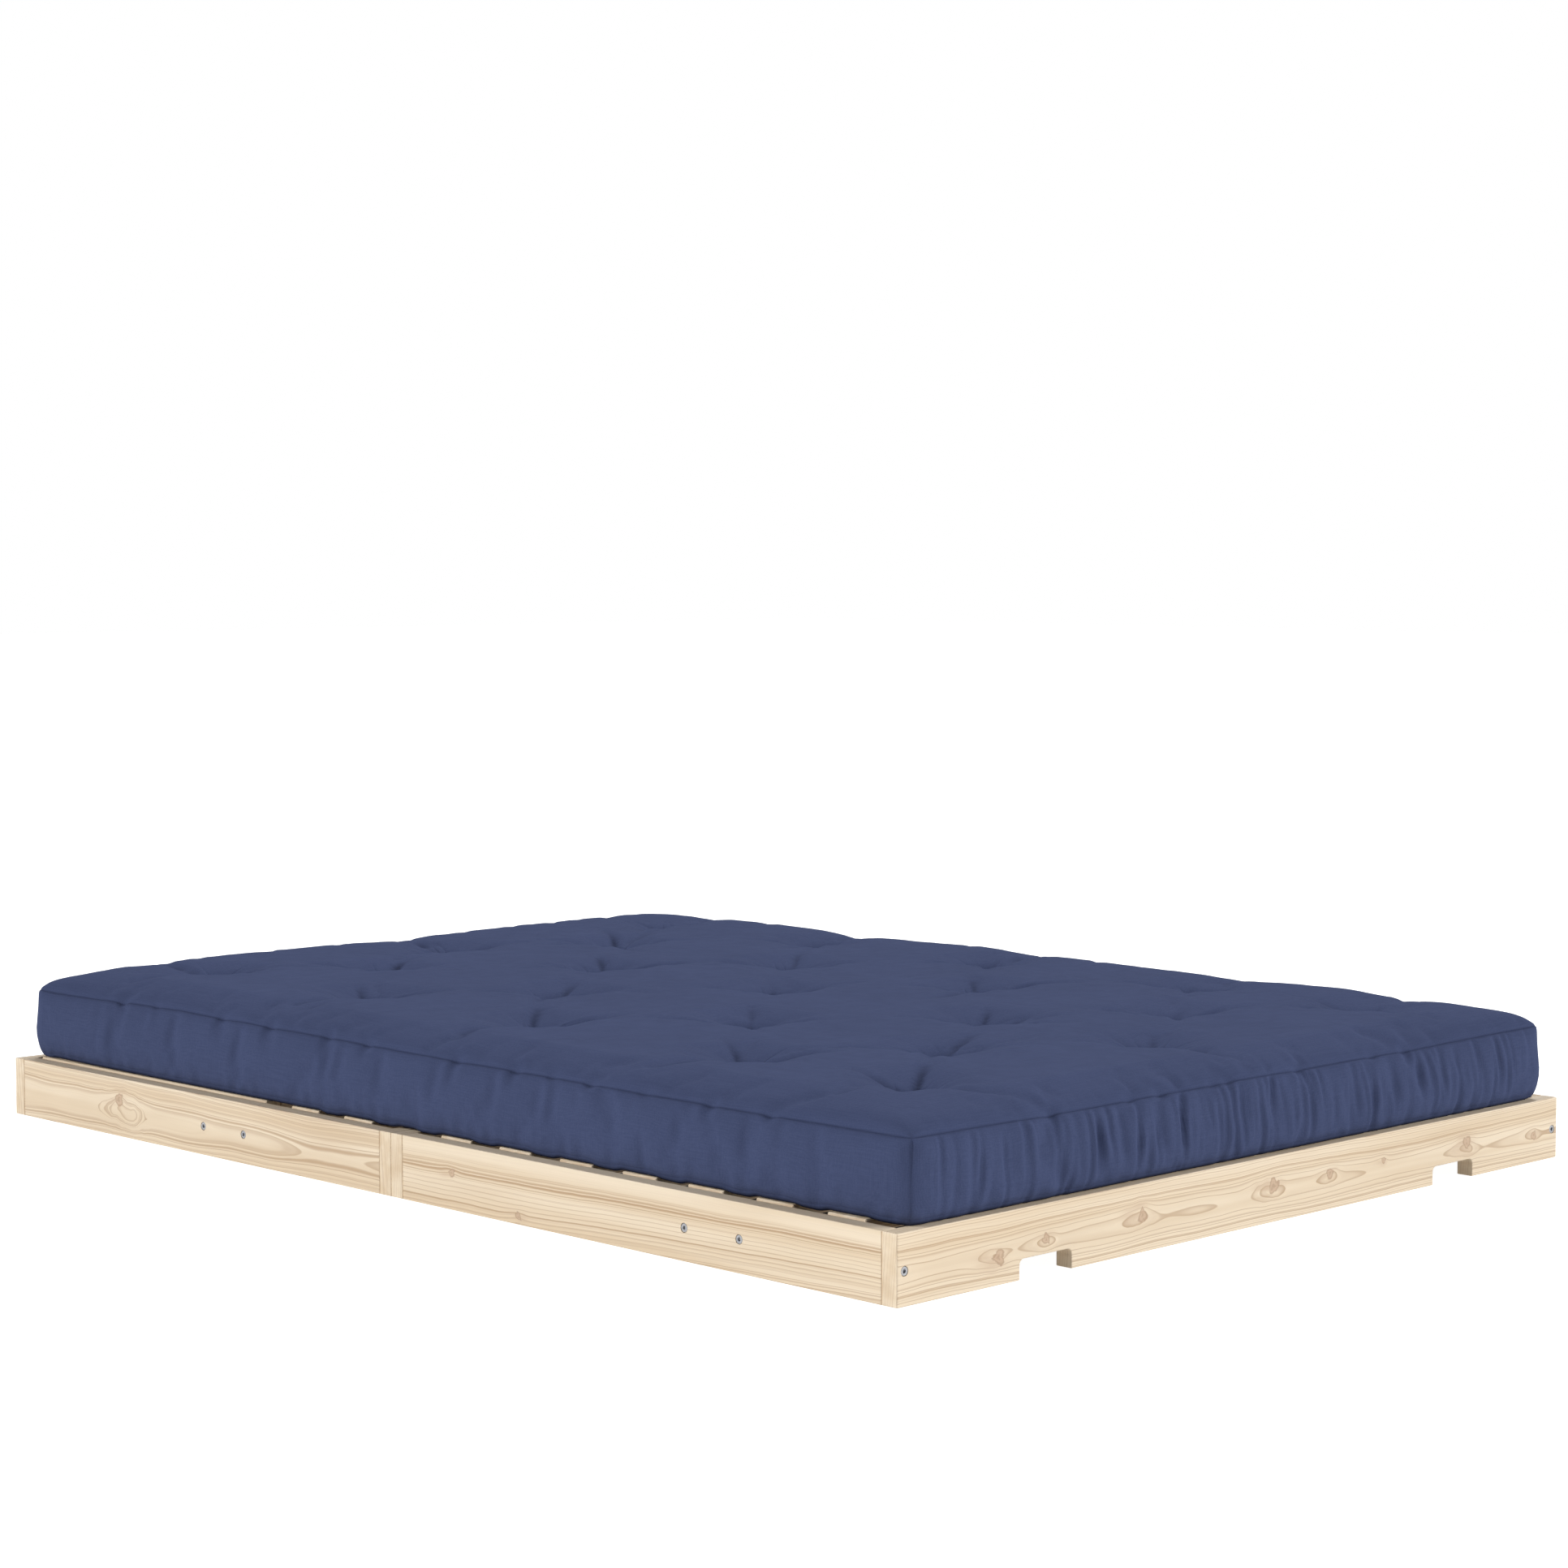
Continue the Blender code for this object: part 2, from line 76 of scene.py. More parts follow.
class Nodes:
    """Makes shader nodes in one tree. A value is a number, a colour or another node's socket."""

    def __init__(self, tree):
        self.tree = tree

    def make(self, kind, values=None, **settings):
        node = self.tree.nodes.new("ShaderNode" + kind)
        for name, setting in settings.items():
            setattr(node, name, setting)
        self.feed(node.inputs, values or {})
        return node

    def feed(self, sockets, values):
        for key, value in values.items():
            if isinstance(value, bpy.types.NodeSocket):
                self.tree.links.new(value, sockets[key])
            else:
                sockets[key].default_value = value

    def math(self, operation, *values):
        return self.make("Math", dict(enumerate(values)), operation=operation).outputs[0]

    def plus(self, a, b):
        return self.math("ADD", a, b)

    def minus(self, a, b):
        return self.math("SUBTRACT", a, b)

    def times(self, a, b):
        return self.math("MULTIPLY", a, b)

    def split(self, vector):
        """The X, Y and Z of a vector."""
        return self.make("SeparateXYZ", {0: vector}).outputs

    def vector(self, x, y, z):
        return self.make("CombineXYZ", {"X": x, "Y": y, "Z": z}).outputs[0]

    def stretched(self, place, *scales):
        return self.make("VectorMath", {0: place, 1: scales}, operation="MULTIPLY").outputs[0]

    def scaled(self, vector, scale):
        return self.make("VectorMath", {0: vector, "Scale": scale}, operation="SCALE").outputs[0]

    def attribute(self, name, output="Fac"):
        return self.make("Attribute", attribute_name=name).outputs[output]

    def noise(self, place, seed, scale=1.0, detail=2.0):
        """Smooth noise from 0 to 1 at a place, its own for each seed."""
        values = {"Vector": place, "W": seed, "Scale": scale, "Detail": detail}
        return self.make("TexNoise", values, noise_dimensions="4D").outputs[0]

    def length(self, a, b):
        return self.math("SQRT", self.plus(self.times(a, a), self.times(b, b)))

    def step(self, value, low, high, start=0.0, end=1.0):
        """Goes smoothly from start to end as value goes from low to high."""
        values = {"Value": value, "From Min": low, "From Max": high, "To Min": start, "To Max": end}
        return self.make("MapRange", values, interpolation_type="SMOOTHSTEP").outputs[0]

    def swing(self, noise, size):
        """Noise from 0 to 1, centred and scaled to a size."""
        return self.times(self.minus(noise, 0.5), size)

    def mix(self, share, a, b):
        return self.make("Mix", {0: share, 6: a, 7: b}, data_type="RGBA").outputs[2]

    def lit(self, seen, given):
        """A strength that is one value to the camera and another as light."""
        is_camera = self.make("LightPath").outputs["Is Camera Ray"]
        return self.math("MULTIPLY_ADD", is_camera, seen - given, given)

    def bump(self, height, distance, strength):
        values = {"Height": height, "Distance": distance, "Strength": strength}
        return self.make("Bump", values).outputs[0]


def node_group(name, inputs, outputs):
    """An empty node group, with its inputs' and outputs' sockets by name."""
    tree = bpy.data.node_groups.new(name, "ShaderNodeTree")
    for in_out, sockets in (("INPUT", inputs), ("OUTPUT", outputs)):
        for label, kind in sockets.items():
            tree.interface.new_socket(label, in_out=in_out, socket_type="NodeSocket" + kind)
    start = tree.nodes.new("NodeGroupInput")
    end = tree.nodes.new("NodeGroupOutput")
    return tree, start.outputs, end.inputs


def add_object(name, data):
    item = bpy.data.objects.new(name, data)
    bpy.context.scene.collection.objects.link(item)
    return item


def wall(rings):
    """The faces between closed rings of points, each ring under the one before."""
    faces = []
    for upper, lower in zip(rings, rings[1:]):
        for m in range(len(upper)):
            after = (m + 1) % len(upper)
            faces.append((upper[m], lower[m], lower[after], upper[after]))
    return faces


def new_material(name):
    """A material with its nodes' maker and its Principled shader."""
    material = bpy.data.materials.new(name)
    material.use_nodes = True
    return material, Nodes(material.node_tree), material.node_tree.nodes["Principled BSDF"]


# ---------------- camera, lights and floor

CAMERA_PLACE = (3.857, -3.739, 0.944)
CAMERA_PITCH = math.radians(-3.963)
CAMERA_TURN = math.radians(45.425)
CAMERA_LENS = 76.47
SENSOR = 36.0
FLOOR_SHOWN = 0.95  # keeps the floor round the bed white in the picture
FLOOR_GLOW = 0.27  # what the floor gives as light; both fade out under the bed, which paints a shadow on the floor there
SKY = 0.12  # strength of the white surroundings as light; they show as pure white
FLOOR_SIZE = 60
FLOOR_DROP = 0.0005  # the floor lies this far under the bed
SHADOW_FADE_INSIDE = 0.30  # the glow fades out between these distances in from the bed's edge, painting the shadow under the bed
SHADOW_FADE_EDGE = 0.12
LIGHT_SPREAD = math.radians(28)
LIGHTS = (  # where each light stands, seen from the bed, and its strength
    ("back", (-0.44, 0.53, 0.72), 1.32),
    ("foot", (0.78, 0.60, 0.40), 2.64),
    ("left", (-0.52, -0.80, 0.40), 2.47),
)


def make_camera():
    camera = add_object("camera", bpy.data.cameras.new("camera"))
    camera.data.lens = CAMERA_LENS
    camera.data.sensor_width = SENSOR
    camera.location = CAMERA_PLACE
    camera.rotation_euler = (math.pi / 2 + CAMERA_PITCH, 0, CAMERA_TURN)
    bpy.context.scene.camera = camera


def make_light(name, towards, strength):
    """A wide soft light, the same over the whole bed. Towards points from the bed to it."""
    light = add_object(name, bpy.data.lights.new(name, "SUN"))
    light.data.energy = strength
    light.data.angle = LIGHT_SPREAD
    x, y, z = towards
    light.rotation_euler = (math.atan2(math.hypot(x, y), z), 0, math.atan2(x, -y))


def make_studio():
    world = bpy.data.worlds.new("studio")
    bpy.context.scene.world = world
    world.use_nodes = True
    n = Nodes(world.node_tree)
    background = world.node_tree.nodes["Background"]
    n.feed(background.inputs, {"Color": (1, 1, 1, 1), "Strength": n.lit(1, SKY)})
    for name, towards, strength in LIGHTS:
        make_light(name, towards, strength)
    bpy.context.scene.view_settings.view_transform = "Standard"

    bpy.ops.mesh.primitive_plane_add(size=FLOOR_SIZE, location=(0, 0, -FLOOR_DROP))
    floor = bpy.context.object
    floor.name = "floor"
    material, n, shader = new_material("floor")
    at = n.split(n.make("TexCoord").outputs["Object"])
    past_end = n.minus(n.math("ABSOLUTE", at[0]), CAD_HIGH[0])
    past_side = n.minus(n.math("ABSOLUTE", at[1]), CAD_HIGH[1])
    outside = n.math("MAXIMUM", past_end, past_side)
    glow = n.lit(FLOOR_SHOWN, FLOOR_GLOW)
    n.feed(shader.inputs, {
        "Base Color": (0.55, 0.55, 0.55, 1),
        "Roughness": 0.8,
        "Emission Color": (1, 1, 1, 1),
        # The floor's glow fades out under the bed: a painted shadow there.
        "Emission Strength": n.times(n.step(outside, -SHADOW_FADE_INSIDE, -SHADOW_FADE_EDGE), glow),
    })
    floor.data.materials.append(material)


# ---------------- pine

PALE_WOOD = (0.775, 0.625, 0.443, 1)
WHITE_WOOD = (0.865, 0.735, 0.560, 1)
LATE_WOOD = (0.49, 0.325, 0.19, 1)
TAN_WOOD = (0.64, 0.48, 0.315, 1)  # the broad darker bands in the wood
KNOT_FILL = (0.60, 0.43, 0.295, 1)
KNOT_RIM = (0.40, 0.255, 0.165, 1)


def make_knot_group():
    """A branch that comes out of a board's face, a little heart-shaped and turned its own way.

    Lift is how far it pushes the growth rings aside. Fill is its own wood, Rim the dark line round it
    and Halo the brown wood beside it.
    """
    inputs = {"Place": "Vector", "Along": "Float", "Across": "Float", "Size": "Float", "Turn": "Float"}
    outputs = {"Lift": "Float", "Fill": "Float", "Rim": "Float", "Halo": "Float"}
    tree, given, result = node_group("pine_knot", inputs, outputs)
    n = Nodes(tree)
    place, size, turn = given["Place"], given["Size"], given["Turn"]
    at = n.split(place)
    along = n.math("DIVIDE", n.minus(at[0], given["Along"]), size)
    across = n.math("DIVIDE", n.minus(at[1], given["Across"]), size)

    bent = n.plus(across, n.swing(n.noise(place, size, 22.0), 3.0))
    drawn = n.plus(along, n.swing(n.noise(place, given["Along"], 22.0), 3.5))
    far = n.math("DIVIDE", drawn, n.step(along, -1.5, 1.5, 4.2, 2.4))
    wide = n.math("DIVIDE", bent, 1.75)
    square = n.plus(n.times(far, far), n.times(wide, wide))
    swell = n.math("EXPONENT", n.times(square, -1.0))

    along = n.plus(along, n.swing(n.noise(place, given["Along"], 90.0, 3.0), 1.5))
    across = n.plus(across, n.swing(n.noise(place, size, 90.0, 3.0), 1.5))
    cosine, sine = n.math("COSINE", turn), n.math("SINE", turn)
    forward = n.plus(n.times(along, cosine), n.times(across, sine))
    aside = n.minus(n.times(across, cosine), n.times(along, sine))
    lobes = n.times(n.math("SQRT", n.math("ABSOLUTE", aside)), 0.75)
    forward = n.minus(forward, lobes)
    radius = n.length(forward, aside)
    ring = n.times(n.step(radius, 0.62, 0.90), n.step(radius, 0.95, 1.15, 1.0, 0.0))
    heart = n.step(radius, 0.15, 0.42, 0.8, 0.0)
    streak = n.noise(n.stretched(place, 9.0, 60.0, 60.0), given["Along"])
    streak = n.step(streak, 0.40, 0.62)
    n.feed(result, {
        "Lift": n.times(swell, size),
        "Fill": n.step(radius, 0.80, 1.10, 1.0, 0.0),
        "Rim": n.math("MAXIMUM", ring, heart),
        "Halo": n.times(n.step(n.math("SQRT", square), 0.2, 1.6, 1.0, 0.0), streak),
    })
    return tree


PINE_INPUTS = {
    "Place": "Vector", "Seed": "Float", "Pith across": "Float", "Pith depth": "Float", "Ring": "Float",
    "Taper": "Float", "Clear": "Float", "End": "Float",
    "Lift": "Float", "Fill": "Float", "Rim": "Float", "Halo": "Float",
}


def make_pine_group():
    """Planed pine as a solid: growth rings round a pith line, which the board's faces cut.

    Place is along, across and into the board. Above Clear, measured across it, the lines are faint.
    End is 1 on end grain, where the rings cross the thickness. The last four inputs are the knots'.
    """
    outputs = {"Color": "Color", "Roughness": "Float", "Height": "Float"}
    tree, given, result = node_group("pine", PINE_INPUTS, outputs)
    n = Nodes(tree)
    place, seed = given["Place"], given["Seed"]
    at = n.split(place)

    sway = n.swing(n.noise(n.stretched(place, 1.6, 7.0, 7.0), seed), 0.026)
    wobble = n.swing(n.noise(n.stretched(place, 9.0, 34.0, 34.0), seed), 0.0038)
    jitter = n.swing(n.noise(n.stretched(place, 26.0, 90.0, 90.0), seed), 0.0011)
    shift = n.plus(n.plus(sway, wobble), jitter)
    across = n.plus(n.minus(at[1], given["Pith across"]), shift)
    depth = n.minus(given["Pith depth"], at[2])
    depth = n.plus(depth, n.swing(n.noise(n.stretched(place, 2.1, 3.0, 3.0), seed), 0.020))
    radius = n.length(across, depth)
    radius = n.minus(radius, given["Lift"])
    radius = n.plus(radius, n.times(at[0], given["Taper"]))
    through = n.math("MULTIPLY_ADD", at[2], 0.55, n.times(across, 0.05))
    radius = n.step(given["End"], 0.4, 0.6, radius, through)

    uneven = n.make("TexNoise", {"W": n.math("MULTIPLY_ADD", radius, 60.0, seed)}, noise_dimensions="1D")
    year = n.plus(n.math("DIVIDE", radius, given["Ring"]), n.swing(uneven.outputs[0], 1.5))
    season = n.math("FRACT", year)
    number = n.plus(n.math("FLOOR", year), seed)
    vigour = n.make("TexWhiteNoise", {"W": number}, noise_dimensions="1D").outputs[0]
    dark = n.times(n.step(season, 0.48, 0.91), n.step(season, 0.93, 1.0, 1.0, 0.0))
    line = n.times(n.math("POWER", dark, 1.5), n.math("MULTIPLY_ADD", vigour, 0.60, 0.40))
    faint = n.step(n.minus(at[1], given["Clear"]), -0.004, 0.006, 1.0, 0.12)
    line = n.times(line, faint)
    line = n.times(line, n.step(given["End"], 0.4, 0.6, 1.0, 0.45))

    streak = n.noise(n.stretched(place, 1.1, 40.0, 40.0), seed)
    cloud = n.noise(n.stretched(place, 2.4, 15.0, 15.0), seed)
    fibre = n.noise(n.stretched(place, 26.0, 1250.0, 1250.0), seed, detail=1.0)
    grain = n.noise(n.stretched(place, 5.0, 330.0, 330.0), seed, detail=2.0)

    colour = n.mix(n.step(streak, 0.34, 0.66), PALE_WOOD, WHITE_WOOD)
    colour = n.mix(n.step(cloud, 0.52, 0.78, 0.0, 0.42), colour, TAN_WOOD)
    colour = n.mix(n.times(line, 0.92), colour, LATE_WOOD)
    colour = n.mix(n.times(given["Halo"], 0.60), colour, KNOT_FILL)
    colour = n.mix(n.times(given["Fill"], 0.80), colour, KNOT_FILL)
    colour = n.mix(n.times(given["Rim"], 0.50), colour, KNOT_RIM)
    shade = n.math("MULTIPLY_ADD", fibre, 0.06, 0.97)
    shade = n.times(shade, n.math("MULTIPLY_ADD", grain, 0.06, 0.97))
    n.feed(result, {
        "Color": n.scaled(colour, shade),
        "Roughness": n.plus(n.math("MULTIPLY_ADD", fibre, 0.16, 0.46), n.times(line, -0.10)),
        "Height": n.plus(n.times(line, 0.6), n.times(grain, 0.5)),
    })
    return tree


KNOT_GROUP = make_knot_group()
PINE_GROUP = make_pine_group()
PLAIN = 1.0  # a Clear height above any board: no part of it is without lines
KNOT_LIFT = 0.38
SWIRL_LIFT = 0.85  # a swirl is a branch just under the face: it only turns the lines
KNOT_TURN = 2.4  # each knot of a board is turned this much further than the last


def board_axes(low, high):
    """The axes along, across and into a board, and the side of it that faces away from the bed's middle."""
    sizes = high - low
    order = sorted(range(3), key=lambda axis: sizes[axis])
    depth, across, along = order
    outward = 1 if low[depth] + high[depth] > 0 else -1
    return along, across, depth, outward


def place_knots(n, place, middle, knots, swirls):
    """The knot group's outputs, put together over all of a board's knots and swirls."""
    lift, fill, rim, halo = 0.0, 0.0, 0.0, 0.0
    for number, (along, height, size) in enumerate(knots + swirls):
        knot = n.make("Group")
        knot.node_tree = KNOT_GROUP
        turn = KNOT_TURN * number
        values = {"Place": place, "Along": along, "Across": height - middle, "Size": size, "Turn": turn}
        n.feed(knot.inputs, values)
        shows = number < len(knots)
        push = KNOT_LIFT if shows else SWIRL_LIFT
        lift = n.math("MULTIPLY_ADD", knot.outputs["Lift"], push, lift)
        if shows:
            fill = n.math("MAXIMUM", fill, knot.outputs["Fill"])
            rim = n.math("MAXIMUM", rim, knot.outputs["Rim"])
            halo = n.math("MAXIMUM", halo, knot.outputs["Halo"])
    return {"Lift": lift, "Fill": fill, "Rim": rim, "Halo": halo}


def make_pine(node, seed, pith=(0.0, 0.06), ring=0.0044, taper=0.004, clear=PLAIN, knots=(), swirls=()):
    """Pine for one board. A knot or swirl is its place along the board, its height and its radius."""
    material, n, shader = new_material("pine_" + node)
    low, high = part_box(node)
    along, across, depth, outward = board_axes(low, high)
    middle = (low[across] + high[across]) / 2
    face = high[depth] if outward > 0 else low[depth]

    coordinates = n.make("TexCoord").outputs
    at = n.split(coordinates["Object"])
    place = n.vector(
        at[along],
        n.minus(at[across], middle),
        n.math("MULTIPLY_ADD", at[depth], -outward, face * outward),
    )
    facing = n.split(coordinates["Normal"])[along]

    pine = n.make("Group")
    pine.node_tree = PINE_GROUP
    n.feed(pine.inputs, {
        "Place": place, "Seed": seed, "Pith across": pith[0], "Pith depth": pith[1], "Ring": ring,
        "Taper": taper, "Clear": clear - middle, "End": n.math("ABSOLUTE", facing),
    })
    n.feed(pine.inputs, place_knots(n, place, middle, tuple(knots), tuple(swirls)))
    n.feed(shader.inputs, {
        "Base Color": pine.outputs["Color"],
        "Roughness": pine.outputs["Roughness"],
        "Normal": n.bump(pine.outputs["Height"], 0.0002, 0.5),
        "Specular IOR Level": 0.35,
    })
    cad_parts[node].material_slots[0].material = material


# Each wide board: where its pith line runs (across it, into it), how close its rings are, how fast they
# grow along it, the height above which it is almost free of lines, and its knots and swirls.
BOARDS = {
    "foot_end_board": dict(
        pith=(-0.004, 0.040), ring=0.0026, taper=0.0006,
        knots=[
            (-0.563, 0.036, 0.0100), (-0.465, 0.045, 0.0070), (-0.268, 0.055, 0.0095),
            (0.021, 0.049, 0.0105), (0.159, 0.052, 0.0075), (0.286, 0.056, 0.0045),
            (0.504, 0.050, 0.0095), (0.687, 0.045, 0.0065),
        ],
    ),
    "foot_rail_left": dict(
        pith=(-0.070, 0.045), ring=0.0050, taper=-0.011, clear=0.074,
        knots=[(0.139, 0.054, 0.0065), (0.292, 0.011, 0.0060)],
    ),
    "head_rail_left": dict(
        pith=(-0.006, 0.055), ring=0.0042, taper=0.007,
        knots=[(-0.717, 0.060, 0.0100)],
        swirls=[(-0.680, 0.040, 0.0150)],
    ),
    "foot_rail_right": dict(
        pith=(0.020, 0.052), ring=0.0046,
        knots=[(0.300, 0.062, 0.008), (0.780, 0.030, 0.006)],
    ),
    "head_rail_right": dict(
        pith=(-0.010, 0.045), ring=0.0044,
        knots=[(-0.350, 0.040, 0.009), (-0.800, 0.055, 0.007)],
    ),
    "head_end_board": dict(
        pith=(0.006, 0.044), ring=0.0040,
        knots=[
            (-0.600, 0.050, 0.008), (-0.190, 0.058, 0.010), (0.110, 0.048, 0.006), (0.480, 0.056, 0.009),
        ],
    ),
    "foot_inner_board": dict(
        pith=(0.010, 0.055), ring=0.0045,
        knots=[(-0.300, 0.050, 0.008), (0.400, 0.030, 0.007)],
    ),
    "head_inner_board": dict(
        pith=(-0.012, 0.050), ring=0.0045,
        knots=[(0.050, 0.060, 0.009), (0.500, 0.040, 0.007)],
    ),
    "panel_arm_left": dict(pith=(0.004, 0.070), ring=0.0040, knots=[(-0.700, 0.070, 0.006)]),
    "panel_arm_right": dict(pith=(-0.006, 0.070), ring=0.0040, knots=[(-0.550, 0.075, 0.006)]),
}


def dress_boards():
    """Every pine node gets its own piece of wood, the plain battens and slats too."""
    draw = np.random.default_rng(11)

    def pick(least, most):
        return float(draw.uniform(least, most))

    wooden = ("board", "rail", "ledger", "beam", "rest", "slat", "arm")
    for name in sorted(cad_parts):
        if "bolt" in name or not any(word in name for word in wooden):
            continue
        seed = float(np.round(pick(0, 40), 2))
        if name in BOARDS:
            make_pine(name, seed, **BOARDS[name])
            continue
        low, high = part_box(name)
        along, across = board_axes(low, high)[:2]
        knots = [
            (pick(low[along], high[along]), pick(low[across], high[across]), pick(0.003, 0.006))
            for _ in range(draw.integers(1, 4))
        ]
        pith = (pick(-0.03, 0.03), pick(0.03, 0.09))
        make_pine(name, seed, pith=pith, ring=pick(0.0032, 0.005), knots=knots)


# ---------------- steel

STEEL = (0.60, 0.61, 0.63, 1)
DULL_STEEL = (0.42, 0.43, 0.46, 1)


def make_steel():
    """Zinc-plated steel: even bright metal with faint cloudiness and fine scratches."""
    material, n, shader = new_material("zinc_plated_steel")
    place = n.make("TexCoord").outputs["Object"]
    cloud = n.noise(place, 3.0, 420.0, 3.0)
    scratch = n.noise(n.stretched(place, 300.0, 300.0, 4200.0), 8.0)
    n.feed(shader.inputs, {
        "Base Color": n.mix(n.step(cloud, 0.35, 0.7), STEEL, DULL_STEEL),
        "Roughness": n.math("MULTIPLY_ADD", cloud, 0.22, 0.24),
        "Normal": n.bump(scratch, 0.00004, 0.4),
        "Metallic": 1.0,
    })
    return material


def dress_fasteners(steel):
    for name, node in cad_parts.items():
        if "bolt" in name or "nut" in name:
            node.material_slots[0].material = steel


SCREW_RADIUS = 0.0042
SCREW_RISE = 0.0006  # a head stands this far proud of its slat
SCREW_INSET = 0.024  # from a slat's end
RECESS_LONG = 0.0023  # half the length and half the width of the arms of its cross
RECESS_WIDE = 0.0005


def add_loop(shape, outline, height):
    """A closed loop of edges. Returns its vertices and edges."""
    ring = [shape.verts.new((x, y, height)) for x, y in outline]
    return ring, [shape.edges.new(pair) for pair in zip(ring, ring[1:] + ring[:1])]


def screw_head():
    """A flat screw head with a cross recess, standing on the plane z = 0."""
    turns = [math.tau * k / 28 for k in range(28)]
    circle = [(SCREW_RADIUS * math.cos(turn), SCREW_RADIUS * math.sin(turn)) for turn in turns]
    arm = [(RECESS_WIDE, RECESS_WIDE), (RECESS_WIDE, RECESS_LONG), (-RECESS_WIDE, RECESS_LONG)]
    cross = []
    for quarter in range(4):
        for x, y in arm:
            for _ in range(quarter):
                x, y = -y, x
            cross.append((x, y))
    shape = bmesh.new()
    rim, rim_edges = add_loop(shape, circle, SCREW_RISE)
    foot = add_loop(shape, circle, 0.0)[0]
    mouth, mouth_edges = add_loop(shape, cross, SCREW_RISE)
    floor = add_loop(shape, cross, SCREW_RISE * 0.15)[0]
    bmesh.ops.triangle_fill(shape, edges=rim_edges + mouth_edges, use_beauty=True)
    shape.faces.new(floor)
    for face in wall((rim, foot)) + wall((mouth, floor)):
        shape.faces.new(face)
    bmesh.ops.recalc_face_normals(shape, faces=shape.faces)
    return shape


def add_screws(steel):
    """A screw at each end of every fixed slat, all as one piece."""
    head = screw_head()
    draw = np.random.default_rng(8)
    shape = bmesh.new()
    template = bpy.data.meshes.new("screw_head")
    head.to_mesh(template)
    for name in sorted(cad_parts):
        if not name.startswith(("foot_slat", "head_slat")):
            continue
        low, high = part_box(name)
        for end in (low[1] + SCREW_INSET, high[1] - SCREW_INSET):
            turn = mathutils.Matrix.Rotation(draw.uniform(0, math.tau), 4, "Z")
            place = mathutils.Matrix.Translation(((low[0] + high[0]) / 2, end, high[2]))
            start = len(shape.verts)
            shape.from_mesh(template)
            shape.verts.ensure_lookup_table()
            for vertex in shape.verts[start:]:
                vertex.co = place @ turn @ vertex.co
    mesh = bpy.data.meshes.new("slat_screws")
    shape.to_mesh(mesh)
    mesh.materials.append(steel)
    screws = add_object("slat_screws", mesh)
    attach(screws, "base")


# ---------------- mattress shape

CORNER_X = 1.020  # the cover's widest reach, at its corners
CORNER_Y = 0.719
SEAM_TOP = 0.2095  # height of the upper seam
CONTACT = 0.0985  # where the sides end, tucked under
BASE = 0.0982  # underside, just clear of the slats
SAG = 0.0030  # how far its edge drops past the slats
FIRST_SLAT = 0.1165  # slat centres, from the seam between the boxes, each way
SLAT_PITCH = 0.132
SLAT_HALF = 0.037  # half a slat and a little clearance
LAST_FIXED_SLAT = -0.29  # past the head side of this, the panel's arms carry the edge
SLATS_REACH = 0.948  # past this, towards either end, there are no slats at all
SLATS_DROP = 0.025  # the length over which the underside drops there
CROWN = 0.025  # how far the top rises from its seam
CROWN_REACH = 0.021  # how far in from the seam most of that rise takes
LEAN = 0.007  # the upper seam lies this far inside the widest line
TUCK_END = 0.0135  # how far the sides curl in at their foot, at the ends and along the length
TUCK_SIDE = 0.0100
TUCK_HEIGHT = 0.045  # and from how high
LOWER_SEAM = 0.0085  # height of the lower seam over the contact
WAIST = 0.005  # how far the upper seam pulls in between the corners
BELLY = 0.009  # how far the long sides bulge, half-way down
TUFT_DEPTH = 0.016
TUFT_SPREAD = 0.030
PUCKER_REACH = 0.125  # how far from its tuft a small fold in the cloth ends

# Tufts, in rows across the width: Y, then each X. Every second row sits between its neighbours' tufts.
LONG_ROW = (-0.805, -0.385, 0.030, 0.485, 0.820)
SHORT_ROW = (-0.650, -0.200, 0.237, 0.642)
TUFT_ROWS = (
    (-0.500, LONG_ROW),
    (-0.257, SHORT_ROW),
    (0.005, LONG_ROW),
    (0.268, SHORT_ROW),
    (0.530, LONG_ROW),
)
TUFTS = np.array([(x, y) for y, row in TUFT_ROWS for x in row])
NEIGHBOUR = 0.38  # tufts nearer than this pull a crease between them
NEAR_EDGE = 0.24  # and tufts nearer an edge than this pull one towards it


def from_tufts(points):
    """How far each point lies from each tuft, seen from above."""
    return np.hypot(points[..., :1] - TUFTS[:, 0], points[..., 1:2] - TUFTS[:, 1])


def smooth_noise(x, y, seed):
    """Smooth noise from -1 to 1 on a plane of unit cells, the same each run."""
    cells = 97
    values = np.random.default_rng(seed).uniform(-1, 1, (cells, cells))
    left, low = np.floor(x).astype(int), np.floor(y).astype(int)
    right, high = x - left, y - low
    right, high = right * right * (3 - 2 * right), high * high * (3 - 2 * high)

    def corner(i, j):
        return values[(left + i) % cells, (low + j) % cells]

    near = corner(0, 0) * (1 - right) + corner(1, 0) * right
    far = corner(0, 1) * (1 - right) + corner(1, 1) * right
    return near * (1 - high) + far * high


def ease(value):
    value = np.clip(value, 0, 1)
    return value * value * (3 - 2 * value)


def plan_point(p, q, lean, waist):
    """Where a point of the plan lies. p and q run from -1 to 1 along the length and the width."""
    x = p * (CORNER_X - lean - waist * (1 - q**4) * np.abs(p) ** 3)
    y = q * (CORNER_Y - lean - waist * (1 - p**6) * np.abs(q) ** 3)
    return x, y


def seam_wave(x, y):
    """The upper seam rises and falls a little along the sides."""
    return 0.0035 * smooth_noise(x * 3.1 + 11, y * 3.1 + 5, 3)


def sag(x):
    """How far the edge of the mattress drops between the fixed slats, and beyond the last ones."""
    from_slat = np.abs((np.abs(x) - FIRST_SLAT + SLAT_PITCH / 2) % SLAT_PITCH - SLAT_PITCH / 2)
    between = ease((from_slat - SLAT_HALF) / 0.014) * (x > LAST_FIXED_SLAT)
    return SAG * np.maximum(between, ease((np.abs(x) - SLATS_REACH) / SLATS_DROP))


